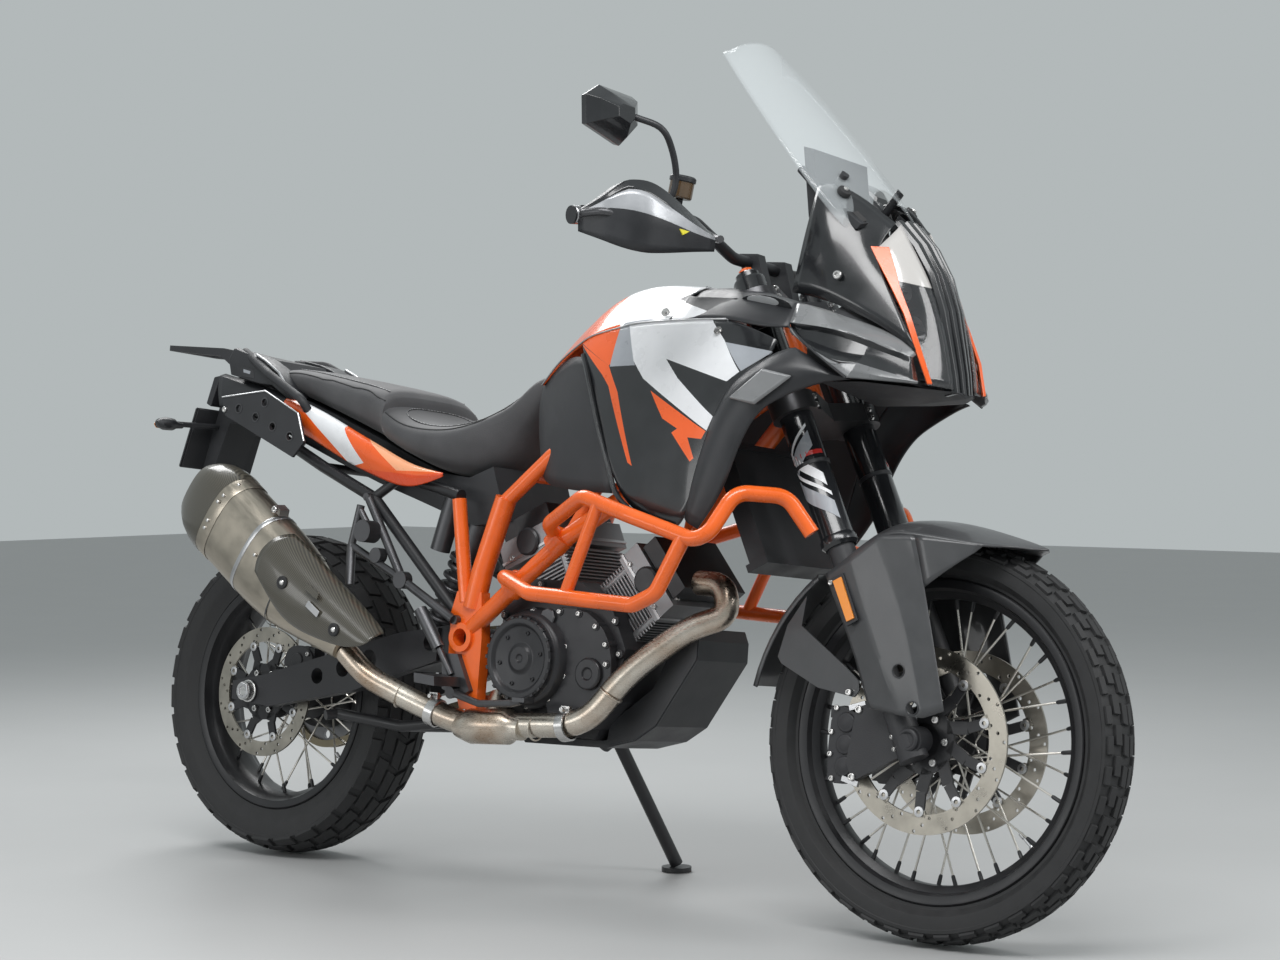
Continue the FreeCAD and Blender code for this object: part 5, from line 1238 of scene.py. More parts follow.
def tail():
    columns = [
        [(-206, -82, 1003), (-206, -98, 997), (-206, -103, 968), (-206, -92, 930)],
        [(-80, -104, 976), (-80, -120, 970), (-80, -126, 942), (-80, -114, 908)],
        [(60, -128, 944), (60, -146, 938), (60, -153, 914), (60, -138, 884)],
        [(160, -138, 912), (160, -154, 905), (160, -161, 880), (160, -146, 845)],
        [(255, -146, 873), (255, -160, 867), (255, -167, 842), (255, -152, 804)],
        [(345, -152, 838), (345, -166, 832), (345, -170, 808), (345, -158, 776)],
        [(430, -158, 802), (430, -168, 796), (430, -172, 775), (430, -162, 752)],
        [(520, -166, 788), (520, -169, 786), (520, -169, 783), (520, -166, 780)]]
    shape = refined(skin(columns, "orange_panel"), 3, 60).both_sides()
    shape.painted([
        ([(-320, 880), (-320, 1060), (53, 1060), (36, 880)], "satin_black"),
        (TAIL_WHITE, "white_panel"), (TAIL_PEACH, "peach"), (TAIL_DEEP, "orange_deep")])
    place("tail_skins", shape, replaces="tail_panels", thick=4, sharp=36, lined=True)

    blocks = Shape()
    outer = [(-128, 1049), (-62, 1030), (-33, 1017), (14, 990), (60, 947), (66, 936), (48, 936),
             (-6, 968), (-42, 972), (-132, 992), (-142, 1026)]
    inner = [(-150, 1053), (-84, 1040), (-50, 1028), (0, 1002), (52, 958), (60, 946), (42, 944),
             (-10, 966), (-50, 970), (-136, 992), (-150, 1028)]
    blocks.loft([[V((x, -136, z)) for x, z in outer], [V((x, -128, z + 3)) for x, z in outer],
                 [V((x, -78, z)) for x, z in inner]], "satin_black")
    place("grab_blocks", blocks.both_sides(), bevel=3, sharp=26)
    trim = Shape()
    pocket = [(-104, 1012), (-66, 1004), (-60, 984), (-98, 990)]
    trim.loft([[V((x, -137.5, z)) for x, z in pocket],
               [V((x + 3, -136.4, z - 2)) for x, z in pocket]], "matte_black")
    trim.prism(((-92, 1004), (-70, 999), (-72, 993), (-91, 997)), -137.8, -136, "grey_panel")
    trim.tube([(-60, -132, 1034), (-31, -134, 1021), (16, -138, 994), (58, -146, 955),
               (92, -152, 936)], 3.2, "alu", 8)
    bracket = [(-108, -176.5, 940), (20, -176.5, 952), (120, -176.5, 905), (142, -176.5, 848)]
    trim.tube(bracket, 1.8, "alu", 6)
    for x, z in ((100, 858), (48, 878), (-4, 898), (-56, 916), (20, 928)):
        trim.lathe([(8.2, 0), (10.5, 0), (10.5, 1), (8.2, 1)], (x, -176, z), RIGHT,
                   "dark_alu", 20, closed=True)
    trim.bolt((-96, -176, 914), RIGHT, 6)
    place("rack_trim", trim.both_sides())

    lamp = Shape()
    rows = [(-241, 1002), (-262, 999), (-281, 941), (-266, 934)]
    lamp.loft([[V((x, y, z)) for x, z in rows] for y in (-64, 64)], "satin_black")
    place("tail_lamp", lamp, replaces="tail_light", bevel=3)
    lens = Shape()
    lens.loft([[V((-263.5 - (999 - z) * 0.33, y, z)) for y, z in ((-56, 994), (56, 994), (50, 946),
                                                                   (-50, 946))],
               [V((-266.5 - (999 - z) * 0.33, y, z)) for y, z in ((-52, 991), (52, 991), (47, 949),
                                                                   (-47, 949))]], "red_lens")
    for index in range(7):
        y = -42 + index * 14
        lens.loft([[V((-268, y - 5, 986)), V((-268, y + 5, 986)), V((-280, y + 5, 955)),
                    V((-280, y - 5, 955))],
                   [V((-269, y - 3, 984)), V((-269, y + 3, 984)), V((-281, y + 3, 957)),
                    V((-281, y - 3, 957))]], "red_lens")
    place("tail_lens", lens)

    lights = Shape()
    rings = []
    for share, high, deep in ((0.0, 6, 7), (0.25, 8, 9), (0.4, 13, 16), (0.7, 14, 20),
                              (0.9, 10, 15), (1.0, 3, 5)):
        y = -150 - 66 * share
        rings.append([V((-256 - 4 * share + deep * math.cos(t), y, 883 + high * math.sin(t)))
                      for t in turns(20)])
    lights.loft(rings, "satin_black")
    place("rear_indicators", lights.both_sides(), replaces="indicators")
    glassy = Shape()
    glassy.loft([[V((-274, y, z)) for y, z in ((-180, 892), (-208, 889), (-212, 880),
                                               (-206, 873), (-180, 872))],
                 [V((-279, y, z)) for y, z in ((-183, 889), (-205, 886), (-208, 880),
                                               (-203, 876), (-183, 875))]], "amber")
    place("rear_indicator_lenses", glassy.both_sides(), bevel=1)

    plate = Shape()
    top, low = (-266.5, 926), (-306.5, 801)
    corners = [(top[0], -102, top[1]), (top[0], 102, top[1]), (low[0], 102, low[1]),
               (low[0], -102, low[1])]
    for first, second in zip(corners, corners[1:] + corners[:1]):
        plate.tube([first, second], 2.4, "satin_black", 8)
    plate.block((-262, 0, 938), (26, 60, 12), "satin_black")
    plate.lathe([(0, 0), (20, 0), (20, 5), (17, 6.5), (0, 6.5)], (-296, 0, 786), (-1, 0, -0.3),
                "red_lens", 24)
    place("plate_trim", plate, bevel=1)


# Exhaust and engine

SILENCER_FRONT = V((352, -236, 446))
SILENCER_REAR = V((-78, -236, 738))
SILENCER_OUTLINE = [(-92, -14), (-84, 28), (-50, 52), (48, 54), (84, 30), (92, -16), (74, -50),
                    (-66, -52)]


def silencer_point(share, up, out):
    """Point by its share of the silencer's length, its height across it and its reach outwards."""
    axis = SILENCER_REAR - SILENCER_FRONT
    across = V(RIGHT)
    rise = axis.cross(across).normalized()
    rise = -rise if rise.z < 0 else rise
    return SILENCER_FRONT + axis * share + rise * up + across * out


def rounded(outline, passes=2):
    """Outline with its corners cut away, pass by pass."""
    for _ in range(passes):
        cut = []
        for a, b in zip(outline, outline[1:] + outline[:1]):
            cut.append((a[0] * 0.75 + b[0] * 0.25, a[1] * 0.75 + b[1] * 0.25))
            cut.append((a[0] * 0.25 + b[0] * 0.75, a[1] * 0.25 + b[1] * 0.75))
        outline = cut
    return outline


def silencer_ring(share, scale_up, scale_out):
    """Cross-section of the silencer at a share of its length."""
    return [silencer_point(share, a * scale_up, b * scale_out)
            for a, b in rounded(SILENCER_OUTLINE)]


def silencer():
    body = Shape()
    stations = [(-0.02, 0.34, 0.52), (0.06, 0.48, 0.68), (0.16, 0.66, 0.84), (0.25, 0.82, 0.94),
                (0.34, 0.95, 1.0), (0.44, 1.01, 1.03), (0.5, 1.03, 1.04), (0.66, 1.035, 1.04),
                (0.82, 1.035, 1.04)]
    body.loft([silencer_ring(*s) for s in stations], "titanium")
    place("silencer_body", body, replaces="muffler", sharp=40)
    bands = Shape()
    for low, high, grow, key in ((0.765, 0.835, 1.055, "titanium"), (0.555, 0.575, 1.05, "alu"),
                                 (0.33, 0.337, 1.0, "dark_alu")):
        bands.loft([silencer_ring(share, grow - less, grow + more) for share, less, more in (
            (low, 0.01, 0), (low + 0.004, 0, 0.012), (high - 0.004, 0, 0.012), (high, 0.01, 0))],
            key, caps=False)
    for share, up, out in ((0.80, 56, 54), (0.80, 40, 60), (0.80, -6, 60), (0.80, -60, 46),
                           (0.80, 84, 30), (0.50, 20, 60), (0.80, -24, 58)):
        bands.lathe([(0, 2), (3, 1.5), (4, 0), (4, -4)], silencer_point(share, up, out - 0.5),
                    RIGHT, "steel", 12)
    strap = [silencer_point(0.565, 97, -12), silencer_point(0.565, 112, -6),
             silencer_point(0.60, 112, -6), silencer_point(0.60, 97, -12)]
    bands.loft([strap, [p + V((0, -26, -2)) for p in strap]], "alu")
    bands.bolt(silencer_point(0.582, 104, 21), RIGHT, 7)
    place("silencer_bands", bands, bevel=0.8, segments=1)

    trim = Shape()
    cap = [(0.826, 1.06, 1.07), (0.85, 1.065, 1.075), (0.90, 1.03, 1.03), (0.95, 0.95, 0.94),
           (0.985, 0.84, 0.83), (1.01, 0.72, 0.72)]
    rings = [silencer_ring(*s) for s in cap]
    centre = silencer_point(1.0, 0, 0)
    for size, share in ((0.66, 1.008), (0.62, 1.0), (0.60, 0.93)):
        rings.append(silencer_ring(share, size, size))
    trim.loft(rings, "carbon")
    trim.lathe([(30, 10), (33, 8), (33, -30), (30, -30)], centre, SILENCER_REAR - SILENCER_FRONT,
               "dark_alu", 32, closed=True)
    # Black disc 6 mm inside the outlet: painted shade standing in for the open pipe.
    trim.lathe([(0, -6), (30, -6)], centre, SILENCER_REAR - SILENCER_FRONT, "matte_black", 32)
    shield = [
        [(0.458, 92, 10), (0.47, 84, 42), (0.478, 50, 63), (0.474, 20, 64), (0.452, -2, 63)],
        [(0.36, 94, 6), (0.36, 82, 44), (0.36, 48, 64), (0.36, 0, 65), (0.36, -16, 62)],
        [(0.24, 90, 2), (0.24, 80, 40), (0.24, 46, 60), (0.24, -18, 60), (0.235, -36, 52)],
        [(0.12, 88, -4), (0.12, 78, 34), (0.12, 46, 56), (0.12, -10, 52), (0.12, -26, 44)],
        [(0.0, 86, -6), (0.0, 77, 26), (0.0, 50, 46), (0.0, 14, 42), (-0.02, 2, 36)],
        [(-0.10, 84, -6), (-0.11, 77, 18), (-0.115, 58, 36), (-0.11, 36, 38), (-0.08, 18, 36)],
        [(-0.14, 80, -4), (-0.145, 74, 14), (-0.148, 66, 28), (-0.145, 54, 32), (-0.13, 42, 32)]]
    cover = skin([[silencer_point(*p) for p in column] for column in shield], "carbon")
    trim.join(refined(cover, 2, 50))
    place("carbon_parts", trim, replaces="muffler_trim", sharp=38, thick=2)
    studs = Shape()
    for share, up, out in ((0.305, 26, 62.5), (0.0, 30, 45.5)):
        foot = silencer_point(share, up, out)
        studs.lathe([(6, 3), (11, 3), (13, 1.5), (13, -3), (6, -3)], foot, (0.05, -1, 0),
                    "rubber", 24, closed=True)
        studs.lathe([(0, 4.5), (4, 4), (6.5, 1.5), (6.5, -3)], foot, (0.05, -1, 0), "steel", 20)
    plate = [silencer_point(0.155, 26, 57), silencer_point(0.155, 40, 57.5),
             silencer_point(0.085, 40, 55), silencer_point(0.085, 26, 54)]
    studs.loft([plate, [p + V((0, -1.6, 0)) for p in plate]], "alu")
    bump = [silencer_point(s, u, o) for s, u, o in ((0.20, 64, 56), (0.13, 66, 53), (0.12, 54, 56),
                                                      (0.19, 52, 59))]
    studs.loft([bump, [p + V((0, -3.5, 1)) for p in bump]], "carbon")
    place("shield_bolts", studs, bevel=1)


HEADER = [(1070, -50, 600), (1132, -56, 598), (1150, -64, 542), (1086, -92, 516),
          (985, -135, 430), (910, -158, 326), (625, -170, 306), (520, -186, 338),
          (405, -216, 384), (352, -228, 432)]


def rounded_path(points, radius, count=6):
    """Straight runs joined by bends, like a bent tube."""
    points = [V(p) for p in points]
    result = [points[0]]
    for a, b, c in zip(points, points[1:], points[2:]):
        reach = min(radius, (b - a).length * 0.48, (c - b).length * 0.48)
        start = b + (a - b).normalized() * reach
        stop = b + (c - b).normalized() * reach
        for step in range(count + 1):
            t = step / count
            result.append(start * (1 - t) ** 2 + b * (2 * t * (1 - t)) + stop * t * t)
    return result + [points[-1]]


def headers():
    pipes = Shape()
    pipes.tube(rounded_path(HEADER, 56), 23, "exhaust", 28)
    joining = [(672, -128, 366), (690, -158, 322), (740, -169, 312)]
    pipes.tube([(770, -169, 310), (745, -169, 311), (735, -169, 311), (645, -170, 306),
                (635, -170, 306), (612, -171, 306)], [23, 25, 34, 34, 31, 24], "exhaust", 28)
    pipes.tube(spline(joining, 5), 20, "exhaust", 20)
    place("header_pipes", pipes, replaces="exhaust_pipes", sharp=50)
    rings = Shape()
    spots = [((878, -161.5, 322.5), (858, -162, 319)), ((565, -178, 323), (545, -181, 329)),
             ((800, -165, 313), (796, -165, 313)), ((958, -147, 388), (955, -148, 383)),
             ((480, -197, 352), (477, -198, 353))]
    for index, (start, stop) in enumerate(spots):
        start, stop = V(start), V(stop)
        wide = 28 if index < 2 else 25
        along = (stop - start).normalized()
        length = (stop - start).length
        rings.lathe([(wide - 3, 0), (wide, 1), (wide, length - 1), (wide - 3, length)], start,
                    along, "steel" if index < 2 else "exhaust", 28)
        if index < 2:
            lug = start + along * length / 2 + V((0, -4, wide + 3))
            rings.block(lug, (length, 8, 14), "steel")
            rings.lathe([(0, 16), (4.5, 16), (4.5, -16), (0, -16)], lug, LEFT, "steel", 12)
    place("pipe_clamps", rings, bevel=0.8, segments=1)


def bolt_circle(centre, radius, count, first=0.0):
    """Points (x, z) evenly round a centre, seen from the side."""
    return [(centre[0] + radius * math.cos(t), centre[1] + radius * math.sin(t))
            for t in turns(count, first)]


def engine():
    covers = Shape()
    axis, base = RIGHT, (757, -128, 440)
    covers.lathe([(0, 0), (94, 0), (94, 18), (92, 22), (88, 36), (85, 40), (81, 42), (79, 46),
                  (78, 53), (75, 56), (66, 56), (63, 53), (60, 49), (30, 47), (26, 49), (22, 52),
                  (8, 52), (6, 49), (0, 49)], base, axis, "cover_black", 96)
    lower = [(800, 318), (866, 322), (930, 340), (950, 368), (956, 400), (952, 470), (926, 510),
             (880, 540), (800, 540)]
    covers.prism(rounded(lower, 1), -150, -128, "cover_black")
    covers.lathe([(0, 0), (30, 0), (30, 6), (27, 9), (12, 9), (10, 5), (0, 5)], (905, -150, 420),
                 axis, "cover_black", 40)
    covers.lathe([(0, 0), (88, 0), (88, 18), (84, 26), (78, 34), (70, 38), (40, 39), (37, 36),
                  (18, 36), (15, 39), (0, 39)], (845, 128, 445), LEFT, "cover_black", 96)
    covers.prism([(640, 420), (690, 396), (760, 420), (760, 540), (690, 552), (640, 530)], 128.2,
                 139, "cover_black")
    place("side_covers", covers, replaces="engine_covers", bevel=1.6, sharp=28)
    marks = Shape()
    clutch, generator = (757, 440), (845, 445)

    def bosses(spots, profile, head, size, key, sides):
        for x, z in spots:
            marks.lathe(profile, (x, -128, z), axis, key, sides)
            marks.bolt((x, head, z), axis, size)

    bosses(bolt_circle(clutch, 89, 10, 0.5), [(0, 18), (8.5, 18), (9.5, 14), (9.5, 0)], -146, 5.5,
           "cover_black", 18)
    for angle in turns(24):
        turn = Matrix.Rotation(-angle, 3, "Y")
        marks.block(V((757, -180, 440)) + outward(angle) * 77.5, (5, 8, 7), "cover_black", turn)
    for x, z in bolt_circle(clutch, 50, 6, 0.2):
        marks.bolt((x, -176, z), axis, 4.2, "cover_black")
    bosses(((812, 330), (868, 331), (922, 350), (944, 384), (944, 440), (940, 476), (914, 508),
            (872, 530), (826, 532)), [(0, 24), (7.5, 24), (8.5, 20), (8.5, 0)], -152, 5,
           "cover_black", 16)
    bosses(((700, 330), (684, 372), (674, 520), (716, 566), (760, 582), (830, 580), (900, 556),
            (944, 520), (958, 460), (944, 386)), [(0, 6), (8, 6), (9, 3), (9, 0)], -133.5, 5,
           "engine_black", 16)
    for x, z in bolt_circle(generator, 79, 8):
        marks.bolt((x, 152, z), LEFT, 5)
    for x, z in ((660, 424), (700, 412), (748, 432), (750, 530), (694, 540), (652, 522)):
        marks.bolt((x, 138.5, z), LEFT, 5)
    marks.lathe([(0, 8), (16, 8), (18, 6), (18, 0)], (800, -150, 520), axis, "dark_alu", 8)
    place("cover_bolts", marks, bevel=0.6, segments=1)

    blocks = Shape()
    for bank in (50.0, -25.0):
        turn = Matrix.Rotation(math.radians(bank), 3, "Y")
        centre = V((800, 0, 440))

        def at(x, y, z):
            return centre + turn @ V((x, y, z))
        for level in range(9):
            z = 146 + 7.4 * level
            blocks.block(at(0, 0, z), (138, 176, 3.4), "engine_grey", turn)
        blocks.block(at(0, 0, 175), (124, 160, 76), "engine_grey", turn)
        for y in (-1, 1):
            for x in (-56, 56):
                blocks.lathe([(0, 0), (9, 0), (9, 70), (0, 70)], at(x, y * 80, 142),
                             turn @ V((0, 0, 1)), "engine_grey", 14)
        blocks.block(at(0, 0, 242), (146, 204, 52), "engine_grey", turn)
        blocks.block(at(0, 0, 228), (150, 208, 6), "alu", turn)
        blocks.block(at(0, 0, 287), (120, 190, 34), "cover_black", turn)
        for y in (-1, 1):
            blocks.lathe([(0, 0), (27, 0), (27, 5), (23, 8), (0, 8)], at(0, y * 102, 246),
                         turn @ V((0, y, 0)), "cover_black", 32)
            for x in (-58, 58):
                blocks.bolt(at(x, y * 84, 268), turn @ V((0, 0, 1)), 7)
                blocks.bolt(at(x * 0.85, y * 102, 232), turn @ V((0, y, 0)), 5)
    place("finned_cylinders", blocks, replaces="cylinders", bevel=1.2,
          segments=1)


# Fork, front guard and brakes

def arc_band(shape, base, low, high, radius, start, stop, key, slant=0.0, thick=0.6, steps=8):
    """Thin sheet wrapped on the fork; angles run from straight ahead towards the right side."""
    rings = []
    for index in range(steps + 1):
        share = index / steps
        angle = math.radians(start + (stop - start) * share)
        out = FORK_AHEAD * math.cos(angle) + V(RIGHT) * math.sin(angle)
        lift = slant * share
        rings.append([base + STEER_AXIS * (h + lift) + out * r for h, r in (
            (low, radius - 1), (low, radius + thick), (high, radius + thick), (high, radius - 1))])
    shape.loft(rings, key)


def fork():
    legs = Shape()
    base = fork_point(734, 30, -106)
    legs.lathe([(24.6, -4), (28, -4), (31, 0), (33, 2), (33, 12), (31, 15), (30, 18), (30, 524),
                (28, 528), (22, 529), (22, 539), (19, 542), (0, 542)], base, STEER_AXIS,
               "gloss_black", 48)
    legs.lathe([(13, 542), (13, 549), (10, 551), (0, 551)], base, STEER_AXIS, "frame_orange", 8)
    for level in (150, 420):
        legs.lathe([(30, 0), (31.4, 1), (31.4, 7), (30, 8)], base + STEER_AXIS * level, STEER_AXIS,
                   "satin_black", 48)
    place("fork_sleeves", legs.both_sides(), "steering", "fork_outer_tubes",
          sharp=35)
    bands = Shape()
    for low, high, slant, start, stop, key in (
            (40, 74, 60, 30, 150, "grey_panel"), (84, 92, 60, 30, 150, "white_panel"),
            (104, 128, 60, 36, 140, "white_panel"), (166, 174, 0, 10, 170, "red_band"),
            (182, 212, -40, 40, 130, "grey_panel"), (220, 226, -40, 40, 130, "white_panel")):
        arc_band(bands, base, low, high, 30, start, stop, key, slant)
    place("fork_bands", bands.both_sides(), "steering")

    clamp = Shape()
    for along in (985, 1204):
        for step in (8, 26):
            clamp.bolt(fork_point(along + step * 0.9, 70, -92), (0.2, -1, 0), 5.5)
    clamp.lathe([(0, 12), (14, 12), (17, 8), (17, 0)], fork_point(1240, 0, 0), STEER_AXIS,
                "steel", 6)
    place("clamp_bolts", clamp.both_sides(), "steering")


def fender():
    """Blade over the tyre, a faceted guard down each fork leg and a flap behind the wheel."""
    blade = [
        [(1398, 0, 664), (1397, -70, 652), (1396, -130, 621)],
        [(1452, 0, 708), (1452, -74, 698), (1454, -140, 657)],
        [(1502, 0, 728), (1502, -78, 722), (1502, -142, 693)],
        [(1548, 0, 730), (1548, -78, 724), (1548, -139, 698)],
        [(1600, 0, 725), (1600, -72, 718), (1600, -132, 692)],
        [(1648, 0, 716), (1648, -64, 708), (1648, -122, 686)],
        [(1696, 0, 704), (1694, -52, 698), (1691, -108, 681)],
        [(1738, 0, 693), (1732, -30, 690), (1726, -58, 685)],
        [(1758, 0, 685), (1750, -16, 684), (1742, -34, 683)]]
    shape = refined(skin(blade, "fender"), 2, 60)
    guard = [
        [(1396, -130, 621), (1429, -130, 556), (1464, -130, 489), (1500, -130, 396)],
        [(1454, -146, 655), (1492, -147, 558), (1530, -147, 459), (1573, -146, 387)],
        [(1505, -145, 692), (1541, -147, 615), (1580, -147, 510), (1617, -146, 386)],
        [(1573, -137, 694), (1597, -134, 606), (1620, -134, 520), (1650, -134, 400)]]
    side = refined(skin(guard, "fender"), 3, 7, 0.95)
    beak = [
        [(1573, -137, 694), (1585, -135, 650), (1597, -134, 606)],
        [(1634, -127, 688), (1636, -127, 664), (1640, -127, 641)],
        [(1691, -108, 681), (1686, -110, 676), (1680, -111, 670)]]
    side.join(refined(skin(beak, "fender"), 2, 60))
    holes = ((1565, 462), (1596, 401))
    side.painted([(bolt_circle(hole, 10.5, 16), "fender_hole") for hole in holes])
    kept = [i for i, key in enumerate(side.keys) if key != "fender_hole"]
    side.faces = [side.faces[i] for i in kept]
    side.keys = [side.keys[i] for i in kept]
    place("front_blade", shape.both_sides(), "steering", "front_fender", thick=3.5,
          sharp=30)
    place("fork_guards", side.both_sides(), "steering", thick=3.5, sharp=12)
    parts = Shape()
    outline = ((1414, 614), (1440, 624), (1480, 544), (1455, 532))
    inner = ((1420, 609), (1438, 617), (1473, 547), (1457, 540))
    for shown, key, layers in ((outline, "satin_black", ((-131, 0.2), (-139, 0.16))),
                               (inner, "amber", ((-138, 0.16), (-142, 0.16)))):
        parts.loft([[V((x, y - (x - 1414) * slope, z)) for x, z in shown]
                    for y, slope in layers], key)
    stay = ((1342, 584), (1334, 530), (1442, 463), (1474, 440), (1476, 424), (1466, 412),
            (1381, 424), (1292, 462), (1284, 474), (1300, 530))
    parts.loft([[V((x, y - max(0, x - 1300) * 0.18, z)) for x, z in stay] for y in (-92, -88)],
               "fender")
    parts.bolt((1456, -122, 420), RIGHT, 6)
    parts.bolt((1412, -134, 606), (0, -1, 0.2), 5)
    for x, z in holes:
        parts.lathe([(10.5, 0), (12.5, 0), (12.5, 1.4), (10.5, 1.4)], (x, -146.5, z), RIGHT,
                    "satin_black", 24, closed=True)
    place("guard_parts", parts.both_sides(), "steering", bevel=1)
    flap = []
    for index in range(9):
        out = outward(math.radians(130 + 4.8 * index))
        flap.append([FRONT_AXLE + out * r + V((0, y, 0)) for y, r in (
            (-90, 346), (-82, 358), (-50, 362), (0, 363), (50, 362), (82, 358), (90, 346))])
    place("rear_flap", skin(flap, "fender"), "steering", thick=3, sharp=34)


def calipers():
    outline = rounded([(1404, 300), (1412, 262), (1448, 262), (1470, 290), (1474, 372),
                       (1440, 398), (1410, 392)], 1)
    body = Shape()
    body.prism(outline, -100, -82, "cast_black")
    body.prism(outline, -64, -52, "cast_black")
    for z, wide in ((276, 20), (330, 26), (384, 20)):
        body.block((1412, -75, z), (14, 44, wide), "cast_black")
    for z in (292, 330, 368):
        body.lathe([(0, 5), (9, 5), (11, 4), (16, 3.5), (18, 1), (18, -4)], (1440, -100, z),
                   RIGHT, "cast_black", 28)
    place("caliper_bodies", body.both_sides(), "steering", "front_calipers", bevel=2.2,
          sharp=30)
    marks = Shape()
    for x, z in ((1412, 312), (1412, 350), (1418, 270), (1420, 392)):
        marks.bolt((x, -100, z), RIGHT, 5)
    axle = FRONT_AXLE + V((0, -124, 0))
    marks.bolt((1468, -104, 392), RIGHT, 7)
    marks.bolt((1462, -104, 276), RIGHT, 7)
    marks.block((1462, -100, 398), (34, 8, 10), "alu", Matrix.Rotation(-0.3, 3, "Y"))
    marks.block((1456, -100, 268), (34, 8, 10), "alu", Matrix.Rotation(0.25, 3, "Y"))
    marks.lathe([(14, 0), (20, 0), (20, 6), (17, 8), (14, 8), (11, 5), (11, -10)],
                axle, RIGHT, "cast_black", 40)
    marks.lathe([(0, -6), (11, -6)], axle, RIGHT, "matte_black", 24)
    for x, z in ((1554, 330), (1548, 350)):
        marks.bolt((x, -124, z), (-0.5, -0.8, 0), 4.5)
    place("caliper_bolts", marks.both_sides(), "steering", bevel=0.6, segments=1)

    rear = Shape()
    angle = math.radians(20)
    x, z = 117.5 * math.cos(angle), REAR_RADIUS + 117.5 * math.sin(angle) + 30
    shape = rounded([(x - 44, z - 30), (x + 40, z - 34), (x + 46, z + 24), (x - 30, z + 34)], 2)
    rear.prism(shape, -117.7, -104, "cast_black")
    rear.prism(shape, -92, -82, "cast_black")
    rear.block((x + 34, -98, z + 4), (18, 30, 44), "cast_black")
    rear.lathe([(0, 4), (14, 3), (16, 1), (16, -3)], (x, -117.7, z), RIGHT, "cast_black", 28)
    for dx, dz in ((-28, -18), (30, -20), (30, 14)):
        rear.bolt((x + dx, -117.7, z + dz), RIGHT, 5)
    place("rear_caliper_body", rear, replaces="rear_caliper", bevel=2)
    nut = Shape()
    for side in (-1, 1):
        nut.lathe([(12, 0), (19, 0), (19, 12), (17, 15), (12, 15), (9, 10), (9, -5), (0, -5)],
                  REAR_AXLE + V((0, side * 146, 0)), (0, side, 0), "alu", 6)
        nut.lathe([(20, 0), (23, 0), (23, 3), (20, 4)], REAR_AXLE + V((0, side * 142, 0)),
                  (0, side, 0), "steel", 32)
    place("axle_nuts", nut, bevel=1)


# Bars

BAR_OUTER, BAR_INNER = V((1068, -478, 1204)), V((1130, -225, 1238))


def bar_at(y):
    """Point on the handlebar's centre line at y."""
    share = (abs(y) - 225) / 253
    p = BAR_INNER + (BAR_OUTER - BAR_INNER) * share
    return V((p.x, y, p.z))


def guards():
    columns = [
        [(1072, -489, 1207), (1075, -488, 1204), (1075, -487, 1196), (1075, -484, 1174)],
        [(1126, -490, 1228), (1130, -490, 1223), (1131, -488, 1212), (1130, -484, 1156)],
        [(1154, -466, 1263), (1166, -467, 1252), (1169, -465, 1212), (1164, -457, 1143)],
        [(1172, -436, 1269), (1190, -437, 1243), (1193, -439, 1206), (1186, -429, 1141)],
        [(1184, -404, 1264), (1208, -390, 1222), (1209, -392, 1199), (1200, -385, 1148)],
        [(1202, -352, 1235), (1218, -342, 1205), (1218, -343, 1190), (1212, -339, 1158)],
        [(1214, -286, 1200), (1222, -284, 1193), (1222, -283, 1188), (1220, -281, 1168)]]
    shape = Shape()
    # The middle facet is silver-grey, a painted reflection between the gloss black top and the
    # satin black lower facet.
    for first, key in ((0, "gloss_black"), (1, "guard_silver"), (2, "satin_black")):
        shape.join(refined(skin([c[first:first + 2] for c in columns], key), 2, 20, 0.35))
    roof = [[(c[0][0] - 26, c[0][1] + 4, c[0][2] - 6), c[0]] for c in columns]
    shape.join(refined(skin(roof, "satin_black"), 2, 20, 0.35))
    place("guard_shells", shape.both_sides(), "steering", "hand_guards", thick=4,
          sharp=20)
    arms = Shape()
    arms.tube(spline([bar_at(-474) + V((0, -8, 0)), bar_at(-470) + V((30, -18, 0)),
                      bar_at(-470) + V((62, -14, 0)), (1150, -448, 1200)], 5), 7, "dark_alu", 12)
    arms.tube(spline([(1218, -262, 1194), (1204, -252, 1196), (1180, -246, 1206), bar_at(-250)], 5),
              7, "dark_alu", 12)
    arms.lathe([(11.5, -9), (17, -9), (17, 9), (11.5, 9)], bar_at(-250), BAR_INNER - BAR_OUTER,
               "dark_alu", 24, closed=True)
    arms.loft([[(1207, -376, 1192), (1208, -366, 1182), (1212, -352, 1191)],
               [(1212, -377, 1192), (1213, -367, 1182), (1217, -353, 1191)]], "yellow")
    arms.lathe([(0, 0), (16, 0), (16, 12), (13, 15), (6, 15), (6, 8), (0, 8)], bar_at(-477),
               BAR_OUTER - BAR_INNER, "alu", 28)
    place("guard_arms", arms.both_sides(), "steering", bevel=0.8, segments=1)


